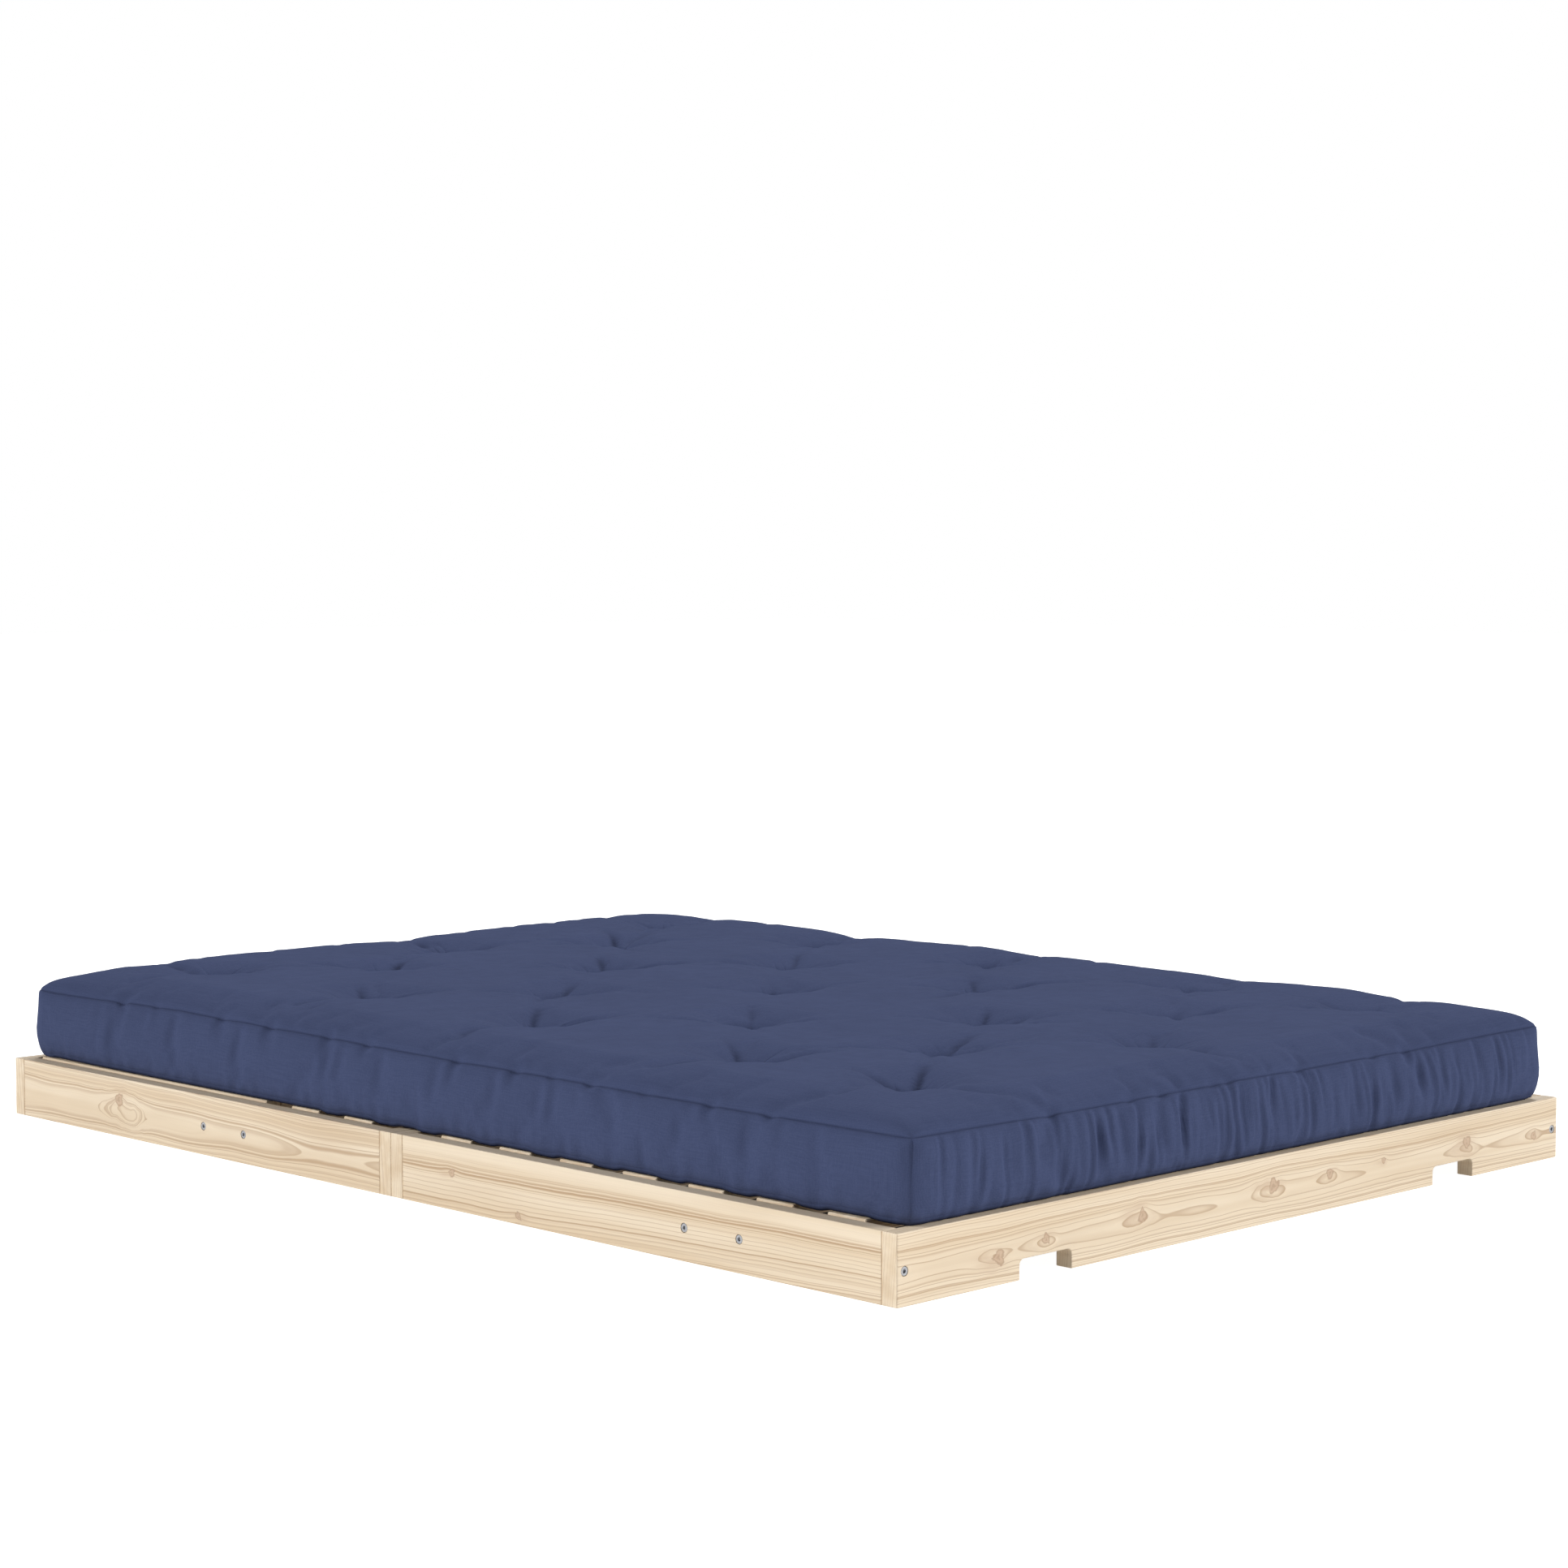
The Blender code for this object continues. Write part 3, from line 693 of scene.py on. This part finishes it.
def top_rest(p, q):
    """The top panel before it settles: a low crown, pressed in at each tuft."""
    x, y = plan_point(p, q, LEAN, WAIST)
    rise_x = 1 - np.exp(-(1 - np.abs(p)) * CORNER_X / CROWN_REACH)
    rise_y = 1 - np.exp(-(1 - np.abs(q)) * CORNER_Y / CROWN_REACH)
    z = SEAM_TOP + seam_wave(x, y) + CROWN * rise_x * rise_y
    near = from_tufts(np.stack([x, y], axis=-1)).min(axis=-1)
    z = z - TUFT_DEPTH * np.exp(-((near / TUFT_SPREAD) ** 2))
    return np.stack([x, y, z], axis=-1)


def side_rest(p, q, t):
    """A side strip. t goes from 0 at the upper seam to 1 at its foot."""
    lean = LEAN * (1 - ease(t / 0.65))
    x, y = plan_point(p, q, lean, WAIST - WAIST * t**1.5)
    y += BELLY * np.sign(q) * (np.abs(q) == 1) * (1 - p**6) * ease(t / 0.6)
    top = SEAM_TOP + seam_wave(*plan_point(p, q, LEAN, WAIST))
    return np.stack([x, y, top + (CONTACT - sag(x) - top) * t], axis=-1)


def perimeter(p_lines, q_lines):
    """The plan's outline as index pairs, once round from the head's left corner, counter-clockwise."""
    last_p, last_q = len(p_lines) - 1, len(q_lines) - 1
    left = [(i, 0) for i in range(last_p)]
    foot = [(last_p, j) for j in range(last_q)]
    right = [(i, last_q) for i in range(last_p, 0, -1)]
    head = [(0, j) for j in range(last_q, 0, -1)]
    return np.array(left + foot + right + head)


def build_mesh(name, points, faces):
    mesh = bpy.data.meshes.new(name)
    faces = [tuple(int(v) for v in face) for face in faces]
    mesh.from_pydata([tuple(point) for point in points], [], faces)
    mesh.update()
    return add_object(name, mesh)


SIM_CELL = 0.0165
SIM_ROWS = 8
SIM_FRAMES = 22
SIM_CAP = 0.010  # no point of the cover settles further than this
HELD_TOP = 0.012  # how firmly the cover is held to its rest shape: 1 is fixed, as at the tufts and the foot
HELD_SIDE = 0.06
HELD_SEAM = 0.3
CLOTH = dict(
    quality=5,
    mass=0.25,
    tension_stiffness=25,
    compression_stiffness=25,
    shear_stiffness=12,
    bending_stiffness=0.6,
    use_pressure=True,
    uniform_pressure_force=2.2,
    shrink_min=-0.008,
    vertex_group_mass="held",
)


def settle(top, sides):
    """Cloth simulation of the stuffed cover, from its top grid and side rows. Returns both, settled."""
    rows, columns = top.shape[:2]
    outline = perimeter(range(rows), range(columns))
    round_count = len(outline)
    grid = np.arange(rows * columns).reshape(rows, columns)
    ring = [grid[outline[:, 0], outline[:, 1]]]
    for row in range(1, len(sides)):
        ring.append(rows * columns + (row - 1) * round_count + np.arange(round_count))
    faces = panel_faces(grid, ring[0], outline) + wall(ring)
    points = np.concatenate([top.reshape(-1, 3), *sides[1:]])
    cover = build_mesh("cover_simulation", points, faces)

    held = np.full(len(points), HELD_SIDE)
    near = from_tufts(points[: rows * columns]).min(axis=1)
    held[: rows * columns] = np.where(near < 0.8 * SIM_CELL, 1.0, HELD_TOP)
    held[ring[0]] = HELD_SEAM
    held[ring[-1]] = 1.0
    group = cover.vertex_groups.new(name="held")
    for index, weight in enumerate(held):
        group.add([index], float(weight), "REPLACE")

    cloth = cover.modifiers.new("cloth", "CLOTH")
    for setting, value in CLOTH.items():
        setattr(cloth.settings, setting, value)
    cloth.settings.effector_weights.gravity = 0
    cloth.collision_settings.use_collision = False
    cloth.point_cache.frame_end = SIM_FRAMES
    for step in range(1, SIM_FRAMES + 1):
        bpy.context.scene.frame_set(step)
    settled = cover.evaluated_get(bpy.context.evaluated_depsgraph_get()).to_mesh()
    moved = np.empty(len(points) * 3)
    settled.vertices.foreach_get("co", moved)
    moved = moved.reshape(-1, 3)
    bpy.data.objects.remove(cover)
    bpy.context.scene.frame_set(1)

    shift = moved - points
    length = np.linalg.norm(shift, axis=1, keepdims=True)
    shift *= np.minimum(1, SIM_CAP / np.maximum(length, 1e-9))
    points = points + shift
    new_top = points[: rows * columns].reshape(rows, columns, 3)
    new_sides = np.stack([points[index] for index in ring])
    return new_top, new_sides


def resample_rows(grid, shares):
    """Reads a grid's rows at shares of its length, along a smooth curve through them."""
    last = len(grid) - 1
    places = shares * last
    padded = np.concatenate([2 * grid[:1] - grid[1:2], grid, 2 * grid[-1:] - grid[-2:-1]])
    whole = np.clip(np.floor(places).astype(int), 0, last - 1)
    part = (places - whole).reshape((-1,) + (1,) * (grid.ndim - 1))
    a, b, c, d = (padded[whole + k] for k in range(4))
    curve = (3 * (b - c) + d - a) * part
    curve = (curve + 2 * a - 5 * b + 4 * c - d) * part
    return b + 0.5 * (curve + c - a) * part


def resample(grid, first, second):
    """Reads a grid of points at shares of its first and of its second length."""
    return resample_rows(resample_rows(grid, first).transpose(1, 0, 2), second).transpose(1, 0, 2)


# Fine mesh lines: close together beside every seam and under the lower one, then even.
SEAM_STEPS = (0.0, 0.0014, 0.0036, 0.0075, 0.0135)
FOOT_STEPS = (0.0013, 0.0032, 0.0058)
TOP_CELL = 0.0074
SIDE_ROW = 0.0120


def seam_lines(length, cell, multiple=1):
    """Places from 0 to length: the seam steps at both ends and even cells between them."""
    start = SEAM_STEPS[-1]
    count = round((length - 2 * start) / cell)
    total = count + 2 * (len(SEAM_STEPS) - 1)
    count += -total % multiple
    middle = np.linspace(start, length - start, count + 1)
    ends = np.array(SEAM_STEPS[:-1])
    return np.concatenate([ends, middle, length - ends[::-1]])


def with_midpoints(lines):
    both = np.empty(2 * len(lines) - 1)
    both[::2] = lines
    both[1::2] = (lines[1:] + lines[:-1]) / 2
    return both


PIT_DEPTH = 0.0110  # the sharp middle of a tuft
PIT_RADIUS = 0.0125
SOFT_SHARE = 1.1  # how much deeper than its sharp middle a crease's soft valley is


def valley(distance, width):
    """A narrow valley with soft shoulders: 1 at its line, a little below 0 beside it."""
    ratio = (distance / width) ** 2
    return np.exp(-ratio) - 0.28 * np.exp(-ratio / 7)


def fold(distance, width):
    """A crease with a raised lip along one side."""
    return valley(distance, width) - 0.45 * np.exp(-((distance / width - 1.5) ** 2))


def crease(points, tuft, way, reach, deep, draw):
    """How far one crease presses the top down: a soft valley with a sharp middle, out from a tuft."""
    away_x, away_y = points[..., 0] - tuft[0], points[..., 1] - tuft[1]
    radius = np.hypot(away_x, away_y)
    turned = np.arctan2(away_y, away_x) - way - draw.uniform(-1.6, 1.6) * radius
    fade = ease(1 - radius / reach) * ease(radius / 0.012) * (np.cos(turned) > 0)
    aside = radius * np.sin(turned) * draw.choice((-1, 1))
    sharp = fold(aside, 0.0066 + 0.020 * radius)
    soft = np.exp(-((aside / 0.030) ** 2))
    return deep * fade * (sharp + SOFT_SHARE * soft)


def top_creases(points, draw):
    """How far the top is pressed down by its tufts' pits and by the creases that fan out from them.

    The long creases run towards the neighbouring tufts and the nearest edge, and the others anywhere.
    """
    x, y = points[..., 0], points[..., 1]
    depth = np.zeros(x.shape)
    for tuft in TUFTS:
        gaps = TUFTS - tuft
        distances = np.hypot(gaps[:, 0], gaps[:, 1])
        for gap, distance in zip(gaps, distances):
            if 0 < distance < NEIGHBOUR:
                way = math.atan2(gap[1], gap[0]) + draw.uniform(-0.20, 0.20)
                reach = distance * draw.uniform(0.38, 0.72)
                depth += crease(points, tuft, way, reach, draw.uniform(0.0045, 0.0095), draw)
        for axis, edge in ((0, CORNER_X), (1, CORNER_Y)):
            if edge - abs(tuft[axis]) < NEAR_EDGE:
                outward = [0.0, 0.0]
                outward[axis] = tuft[axis]
                way = math.atan2(outward[1], outward[0]) + draw.uniform(-0.15, 0.15)
                deep = draw.uniform(0.0020, 0.0045) if axis == 0 else draw.uniform(0.0010, 0.0022)
                depth += crease(points, tuft, way, draw.uniform(0.12, 0.24), deep, draw)
        for _ in range(draw.integers(2, 5)):
            way, reach = draw.uniform(0, math.tau), draw.uniform(0.04, 0.10)
            depth += crease(points, tuft, way, reach, draw.uniform(0.0030, 0.0070), draw)
        radius = np.hypot(x - tuft[0], y - tuft[1])
        depth += PIT_DEPTH * np.exp(-((radius / PIT_RADIUS) ** 2))
    return depth


def draw_gathers(span, count, deep, places, start_height, draw):
    """Where each upright gather of a side runs. Heights go from 0 at the upper seam to 1 at the lower."""
    spots = [(place, 2.0 * deep, 0.0065) for place in places]
    for start in draw.uniform(0.03, span - 0.03, count):
        spots.append((start, draw.uniform(0.25, 1.0) * deep, draw.uniform(0.0035, 0.0075)))
    return [
        dict(
            start=start,
            deep=depth,
            width=width,
            top=draw.uniform(start_height, 0.30),
            foot=draw.uniform(0.65, 1.35),
            lean=draw.uniform(-0.012, 0.012),
            bow=draw.uniform(-0.010, 0.010),
        )
        for start, depth, width in spots
    ]


def gathered(along, down, spots):
    """How far a side, or the top beyond it where down is negative, is pressed in by its gathers."""
    depth = np.zeros(np.broadcast(along, down).shape)
    for spot in spots:
        line = spot["start"] + spot["lean"] * (down - 0.5) + spot["bow"] * (down - 0.5) ** 2
        fade = ease((down - spot["top"]) / 0.35) * ease((spot["foot"] - down) / 0.45)
        depth = depth + spot["deep"] * fade * valley(along - line, spot["width"])
    return depth


PUFF = 0.0050  # how far the stuffing swells the cover just past a seam
PUFF_REACH = 0.012
GROOVE_DEPTH = 0.0011
GROOVE_WIDTH = 0.0019
CORNER_ROUND = 0.0055  # how far a corner is worn in, each way
WEAR_ACROSS = 0.016  # how soon that wear fades, away from the corner and into the bed
WEAR_INWARD = 0.030
TOP_REACH = 0.11  # how far onto the top a gather of height -1 would run


def groove(distance):
    return GROOVE_DEPTH * np.exp(-((distance / GROOVE_WIDTH) ** 2))


def puff(distance):
    """Nothing at a seam, most at the puff's reach from it, and then less and less."""
    ratio = distance / PUFF_REACH
    return PUFF * ratio * np.exp(1 - ratio)


def round_corners(points):
    """Wears the upright corners in, and the top and sides beside them with it."""
    x, y = points[..., 0].copy(), points[..., 1].copy()
    from_end = np.maximum(CORNER_X - np.abs(x), 0)
    from_side = np.maximum(CORNER_Y - np.abs(y), 0)
    points[..., 0] -= np.sign(x) * CORNER_ROUND * np.exp(-from_side / WEAR_ACROSS - from_end / WEAR_INWARD)
    points[..., 1] -= np.sign(y) * CORNER_ROUND * np.exp(-from_end / WEAR_ACROSS - from_side / WEAR_INWARD)
    return points


# Each side strip: the axis it faces and which way, how high its gathers may begin (0 is the upper seam, and
# less is past it, on the top), how many small ones it has and how deep they are, and the places of its
# larger ones. The strips follow one another round the plan from the head's left corner.
SIDES = (
    dict(
        axis=1, way=-1, start=0.14, count=26, deep=0.0006,
        places=(0.087, 0.205, 0.486, 1.540, 1.747, 1.808, 1.882),
    ),
    dict(
        axis=0, way=1, start=-0.42, count=150, deep=0.0040,
        places=(0.366, 0.451, 0.546, 0.627, 0.662, 0.748, 0.921, 0.991),
    ),
    dict(axis=1, way=1, start=0.14, count=26, deep=0.0006, places=(0.300, 0.900, 1.500)),
    dict(axis=0, way=-1, start=0.0, count=120, deep=0.0016, places=(0.250, 0.610, 0.980, 1.200)),
)


HOLLOW_CELLS = 3
HOLLOW_DEPTH = 0.0060
# how dark the painted shade in the top's hollows is, from 0 to 1
HOLLOW_PAINTED_SHADE = 0.50
HOLLOW_INSET = 0.035  # hollows start this far in from the upper seam


def hollows(height):
    """How much lower each point of the top lies than its surroundings, from 0 to 1."""
    around = height
    for axis in (0, 1):
        shifts = range(-HOLLOW_CELLS, HOLLOW_CELLS + 1)
        around = sum(np.roll(around, shift, axis) for shift in shifts) / len(shifts)
    return ease((around - height) / HOLLOW_DEPTH)


def make_mattress():
    """The futon mattress as one closed piece: top panel, side strips and underside, sewn at grooves."""
    length, width = 2 * CORNER_X, 2 * CORNER_Y
    sim_p = np.linspace(-1, 1, round(length / SIM_CELL) + 1)
    sim_q = np.linspace(-1, 1, round(width / SIM_CELL) + 1)
    top = top_rest(*np.meshgrid(sim_p, sim_q, indexing="ij"))
    outline = perimeter(sim_p, sim_q)
    ring_p, ring_q = sim_p[outline[:, 0]], sim_q[outline[:, 1]]
    sides = np.stack([side_rest(ring_p, ring_q, t) for t in np.linspace(0, 1, SIM_ROWS + 1)])
    top, sides = settle(top, sides)

    draw = np.random.default_rng(5)
    x_lines = seam_lines(length, TOP_CELL, 4)
    y_lines = seam_lines(width, TOP_CELL, 4)
    spans = (length, width, length, width)
    spots = [
        draw_gathers(span, side["count"], side["deep"], side["places"], side["start"], draw)
        for side, span in zip(SIDES, spans)
    ]
    fine = resample(top, x_lines / length, y_lines / width)
    inset_x = np.minimum(x_lines, length - x_lines)[:, None]
    inset_y = np.minimum(y_lines, width - y_lines)[None, :]
    inset = np.minimum(inset_x, inset_y)
    x, y = fine[..., 0], fine[..., 1]
    soft = 0.0006 * smooth_noise(x * 17, y * 17, 21) + 0.0005 * smooth_noise(x * 43, y * 43, 22)
    pressed = top_creases(fine, draw) - soft
    beyond = (y_lines, length - x_lines, width - y_lines, x_lines)
    along = (x_lines, y_lines, length - x_lines, width - y_lines)
    for number, side in enumerate(SIDES):
        up, way = -beyond[number] / TOP_REACH, along[number]
        if side["axis"] == 1:
            pressed += gathered(way[:, None], up[None, :], spots[number])
        else:
            pressed += gathered(way[None, :], up[:, None], spots[number])
    fine[..., 2] -= pressed * ease(inset / 0.006) + groove(inset) - puff(inset)
    # How deep each point of the top lies in a hollow, for the painted shade there.
    hollow = hollows(fine[..., 2]) * ease((inset - HOLLOW_INSET) / HOLLOW_INSET)
    fine[..., 0] -= np.sign(x) * groove(inset_x)
    fine[..., 1] -= np.sign(y) * groove(inset_y)

    height = SEAM_TOP - CONTACT
    lower = height - LOWER_SEAM
    rows = np.concatenate([seam_lines(lower, SIDE_ROW), lower + np.array([*FOOT_STEPS, LOWER_SEAM])])
    from_seam = np.minimum(rows, np.abs(lower - rows))
    strips = []
    start = 0
    for number, (side, lines) in enumerate(zip(SIDES, (x_lines, y_lines, x_lines, y_lines))):
        columns = with_midpoints(lines)
        span = columns[-1]
        cells = (len(sim_p) if side["axis"] == 1 else len(sim_q)) - 1
        taken = np.arange(start, start + cells + 1) % sides.shape[1]
        start += cells
        strip = resample(sides[:, taken], rows / height, columns / span)
        from_corner = np.minimum(columns, span - columns)
        quiet = ease((from_corner - 0.012) / 0.05)[None, :]
        press = gathered(columns[None, :], (rows / height)[:, None], spots[number])
        press = press * quiet * ease(rows / 0.006)[:, None]
        press = press - 0.0006 * smooth_noise(columns[None, :] * 31, rows[:, None] * 31, 40 + number)
        press = press + groove(from_seam)[:, None] + 0.4 * groove(from_corner)[None, :]
        press = press - 0.6 * puff(rows)[:, None]
        strip[..., side["axis"]] -= side["way"] * press
        strips.append(strip)

    strips = [curl_under(round_corners(strip), height - rows) for strip in strips]
    seam_row = int(np.argmin(np.abs(rows - lower)))
    return sew(round_corners(fine), strips, x_lines, y_lines, seam_row, hollow)


CURL_BLEND = 0.030  # the curl reaches this far in from the sides, and a little more


def curl_under(points, height):
    """Curls the foot of the sides in, all round. Height is how far above the contact each row lies."""
    low = np.clip(1 - height / TUCK_HEIGHT, 0, 1)
    inward = (1 - np.sqrt(1 - low**2))[:, None]
    x, y = points[..., 0].copy(), points[..., 1].copy()
    points[..., 0] -= np.sign(x) * TUCK_END * inward * ease(1.3 - (CORNER_X - np.abs(x)) / CURL_BLEND)
    points[..., 1] -= np.sign(y) * TUCK_SIDE * inward * ease(1.3 - (CORNER_Y - np.abs(y)) / CURL_BLEND)
    return points


# How dark the cloth is, from 0 to 1, in its seams, and the painted contact shadow where its foot meets the
# slats.
UPPER_SEAM_SHADE = 0.45
LOWER_SEAM_SHADE = 0.35
CORNER_SEAM_SHADE = 0.45
FOOT_PAINTED_SHADOW = 0.9
FOOT_PAINTED_SHADOW_HEIGHT = 0.005


def sew(top, strips, x_lines, y_lines, seam_row, hollow):
    """Joins the top grid, the side strips and a coarser underside into one closed mesh.

    The strips have twice the top's columns, and the underside a quarter of its lines.
    """
    columns, rows = top.shape[:2]
    grid = np.arange(columns * rows).reshape(columns, rows)
    points = [top.reshape(-1, 3)]
    count = columns * rows
    outline = perimeter(x_lines, y_lines)
    joined = np.concatenate([strip[:, :-1] for strip in strips], axis=1)
    around = joined.shape[1]

    upper = np.empty(around, int)
    upper[::2] = grid[outline[:, 0], outline[:, 1]]
    upper[1::2] = count + np.arange(around // 2)
    edge = top[outline[:, 0], outline[:, 1]]
    points.append((edge + np.roll(edge, -1, axis=0)) / 2)
    count += around // 2
    rings = [upper]
    for ring in joined[1:]:
        points.append(ring)
        rings.append(count + np.arange(around))
        count += around

    under_x = x_lines[::4] / x_lines[-1] * 2 - 1
    under_y = y_lines[::4] / y_lines[-1] * 2 - 1
    p, q = np.meshgrid(under_x, under_y, indexing="ij")
    x, y = plan_point(p, q, 1.6 * TUCK_END, 0.0)
    past_slats = ease((np.abs(x) - SLATS_REACH) / SLATS_DROP)
    under = np.stack([x, y, BASE - SAG * past_slats], axis=-1)
    under_grid = np.full(p.shape, -1)
    inner = under_grid[1:-1, 1:-1]
    inner[...] = count + np.arange(inner.size).reshape(inner.shape)
    points.append(under[1:-1, 1:-1].reshape(-1, 3))

    faces = wall(rings) + panel_faces(grid, rings[0], outline, 1)
    under_outline = outline[::4] // 4
    under_grid[under_outline[:, 0], under_outline[:, 1]] = rings[-1][::8]
    faces += [face[::-1] for face in panel_faces(under_grid, rings[-1], under_outline, 7)]
    points = np.concatenate(points)
    # seam holds how dark the cloth is: at its seams, and as painted shade in the top's hollows and a
    # painted contact shadow at its foot.
    seam = np.zeros(len(points))
    # Painted shade in the top's hollows.
    seam[: hollow.size] = HOLLOW_PAINTED_SHADE * hollow.ravel()
    seam[rings[0]] = UPPER_SEAM_SHADE
    seam[rings[seam_row]] = LOWER_SEAM_SHADE
    corner_columns = np.cumsum([0] + [strip.shape[1] - 1 for strip in strips[:-1]])
    for ring in rings[1:-1]:
        seam[ring[corner_columns]] = CORNER_SEAM_SHADE

    # Painted contact shadow: the cloth darkens towards where its foot meets the slats.
    over_foot = np.array([points[ring, 2].mean() - CONTACT for ring in rings[seam_row:]])
    for ring, height in zip(rings[seam_row:], np.maximum(over_foot, 0)):
        seam[ring] = np.maximum(seam[ring], FOOT_PAINTED_SHADOW * np.exp(-height / FOOT_PAINTED_SHADOW_HEIGHT))

    mattress = build_mesh("mattress", points, faces)
    mattress.data.shade_smooth()
    radius = from_tufts(points)
    nearest = np.argmin(radius, axis=1)
    from_tuft = np.column_stack([points[:, :2] - TUFTS[nearest], nearest])
    pucker = ease(1 - radius.min(axis=1) / PUCKER_REACH)
    layers = {"seam": seam, "pucker": pucker, "rest": points, "tuft": from_tuft}
    for label, values in layers.items():
        kind, field = ("FLOAT", "value") if values.ndim == 1 else ("FLOAT_VECTOR", "vector")
        attribute = mattress.data.attributes.new(label, kind, "POINT")
        attribute.data.foreach_set(field, values.astype(np.float32).ravel())
    return mattress


def panel_faces(grid, ring, outline, between=0):
    """Faces of a panel whose outline has a number of extra points between its own."""
    place = {tuple(spot): m for m, spot in enumerate(outline.tolist())}
    around = len(ring)

    def edge(a, b):
        """The points from a up to b, without b, with the ring's extra points where it is on the outline."""
        if a in place and b in place:
            here = place[a] * (between + 1)
            if (place[b] - place[a]) % len(outline) == 1:
                return [ring[(here + k) % around] for k in range(between + 1)]
            if (place[a] - place[b]) % len(outline) == 1:
                return [ring[(here - k) % around] for k in range(between + 1)]
        return [grid[a]]

    faces = []
    for i in range(grid.shape[0] - 1):
        for j in range(grid.shape[1] - 1):
            corners = ((i, j), (i + 1, j), (i + 1, j + 1), (i, j + 1))
            face = []
            for a, b in zip(corners, corners[1:] + corners[:1]):
                face += edge(a, b)
            faces.append(face)
    return faces


# ---------------- fabric

NAVY = (0.0525, 0.068, 0.140, 1)
NAVY_LIGHT = (0.0628, 0.080, 0.161, 1)
# the darkest navy: for the seams, and for the painted shade and painted contact shadow
NAVY_SEAM_AND_SHADE = (0.014, 0.018, 0.042, 1)
THREAD_PITCH = 0.0011
THREAD_HEIGHT = 0.00025
PUCKER_HEIGHT = 0.0065


def make_puckers(n):
    """How high the cloth stands beside the sharp small folds that fan out from each tuft, from 0 to 1."""
    tuft = n.attribute("tuft", "Vector")
    away = n.split(tuft)
    flat = n.vector(away[0], away[1], 0.0)
    radius = n.make("VectorMath", {0: flat}, operation="LENGTH").outputs["Value"]
    outward = n.make("VectorMath", {0: flat}, operation="NORMALIZE").outputs[0]
    way = n.split(outward)
    around = n.vector(way[0], way[1], n.times(radius, 7.0))
    folds = n.noise(around, n.times(away[2], 3.7), 1.2, 1.0)
    beside = n.math("ABSOLUTE", n.minus(folds, 0.5))
    fade = n.times(n.attribute("pucker"), n.step(radius, 0.004, 0.02))
    return n.times(n.step(beside, -0.08, 0.08), fade)


def make_fabric():
    """Navy cotton: a plain weave with uneven threads, slightly worn, darker in its seams, with painted
    shade in the top's hollows and a painted contact shadow at its foot.
    """
    material, n, shader = new_material("navy_cotton")
    place = n.attribute("rest", "Vector")
    at = n.split(place)
    turn = math.tau / THREAD_PITCH
    waves = [n.math("SINE", n.times(at[axis], turn)) for axis in range(3)]
    weave = n.plus(n.plus(waves[0], waves[1]), waves[2])
    slubs = [
        n.noise(n.stretched(place, *[14.0 if axis == along else 620.0 for axis in range(3)]), 2.0 + along)
        for along in range(3)
    ]
    slub = n.times(n.plus(n.plus(slubs[0], slubs[1]), slubs[2]), 1 / 3)
    cloud = n.noise(place, 9.0, 5.0, 3.0)
    lint = n.noise(place, 14.0, 260.0, 2.0)

    light = n.step(slub, 0.36, 0.64)
    colour = n.mix(light, NAVY, NAVY_LIGHT)
    colour = n.mix(n.step(lint, 0.60, 0.78, 0.0, 0.22), colour, NAVY_LIGHT)
    shade = n.plus(n.math("MULTIPLY_ADD", cloud, 0.16, 0.92), n.times(weave, 0.02))
    height = n.plus(n.times(weave, 0.12), n.times(slub, 1.4))
    height = n.math("MULTIPLY_ADD", make_puckers(n), PUCKER_HEIGHT / THREAD_HEIGHT, height)
    n.feed(shader.inputs, {
        # The seam attribute darkens the cloth towards a deep navy: at its seams, and as painted shade in
        # the top's hollows and a painted contact shadow at its foot.
        "Base Color": n.mix(n.times(n.attribute("seam"), 0.75), n.scaled(colour, shade), NAVY_SEAM_AND_SHADE),
        "Roughness": n.math("MULTIPLY_ADD", slub, 0.16, 0.80),
        "Normal": n.bump(height, THREAD_HEIGHT, 0.55),
        "Specular IOR Level": 0.03,
    })
    return material


def dress_mattress(fabric):
    mattress = make_mattress()
    mattress.data.materials.append(fabric)
    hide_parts("mattress_foot_part", "mattress_fold", "mattress_head_part")
    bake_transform(mattress)


make_camera()
make_studio()
dress_boards()
steel = make_steel()
dress_fasteners(steel)
add_screws(steel)
dress_mattress(make_fabric())
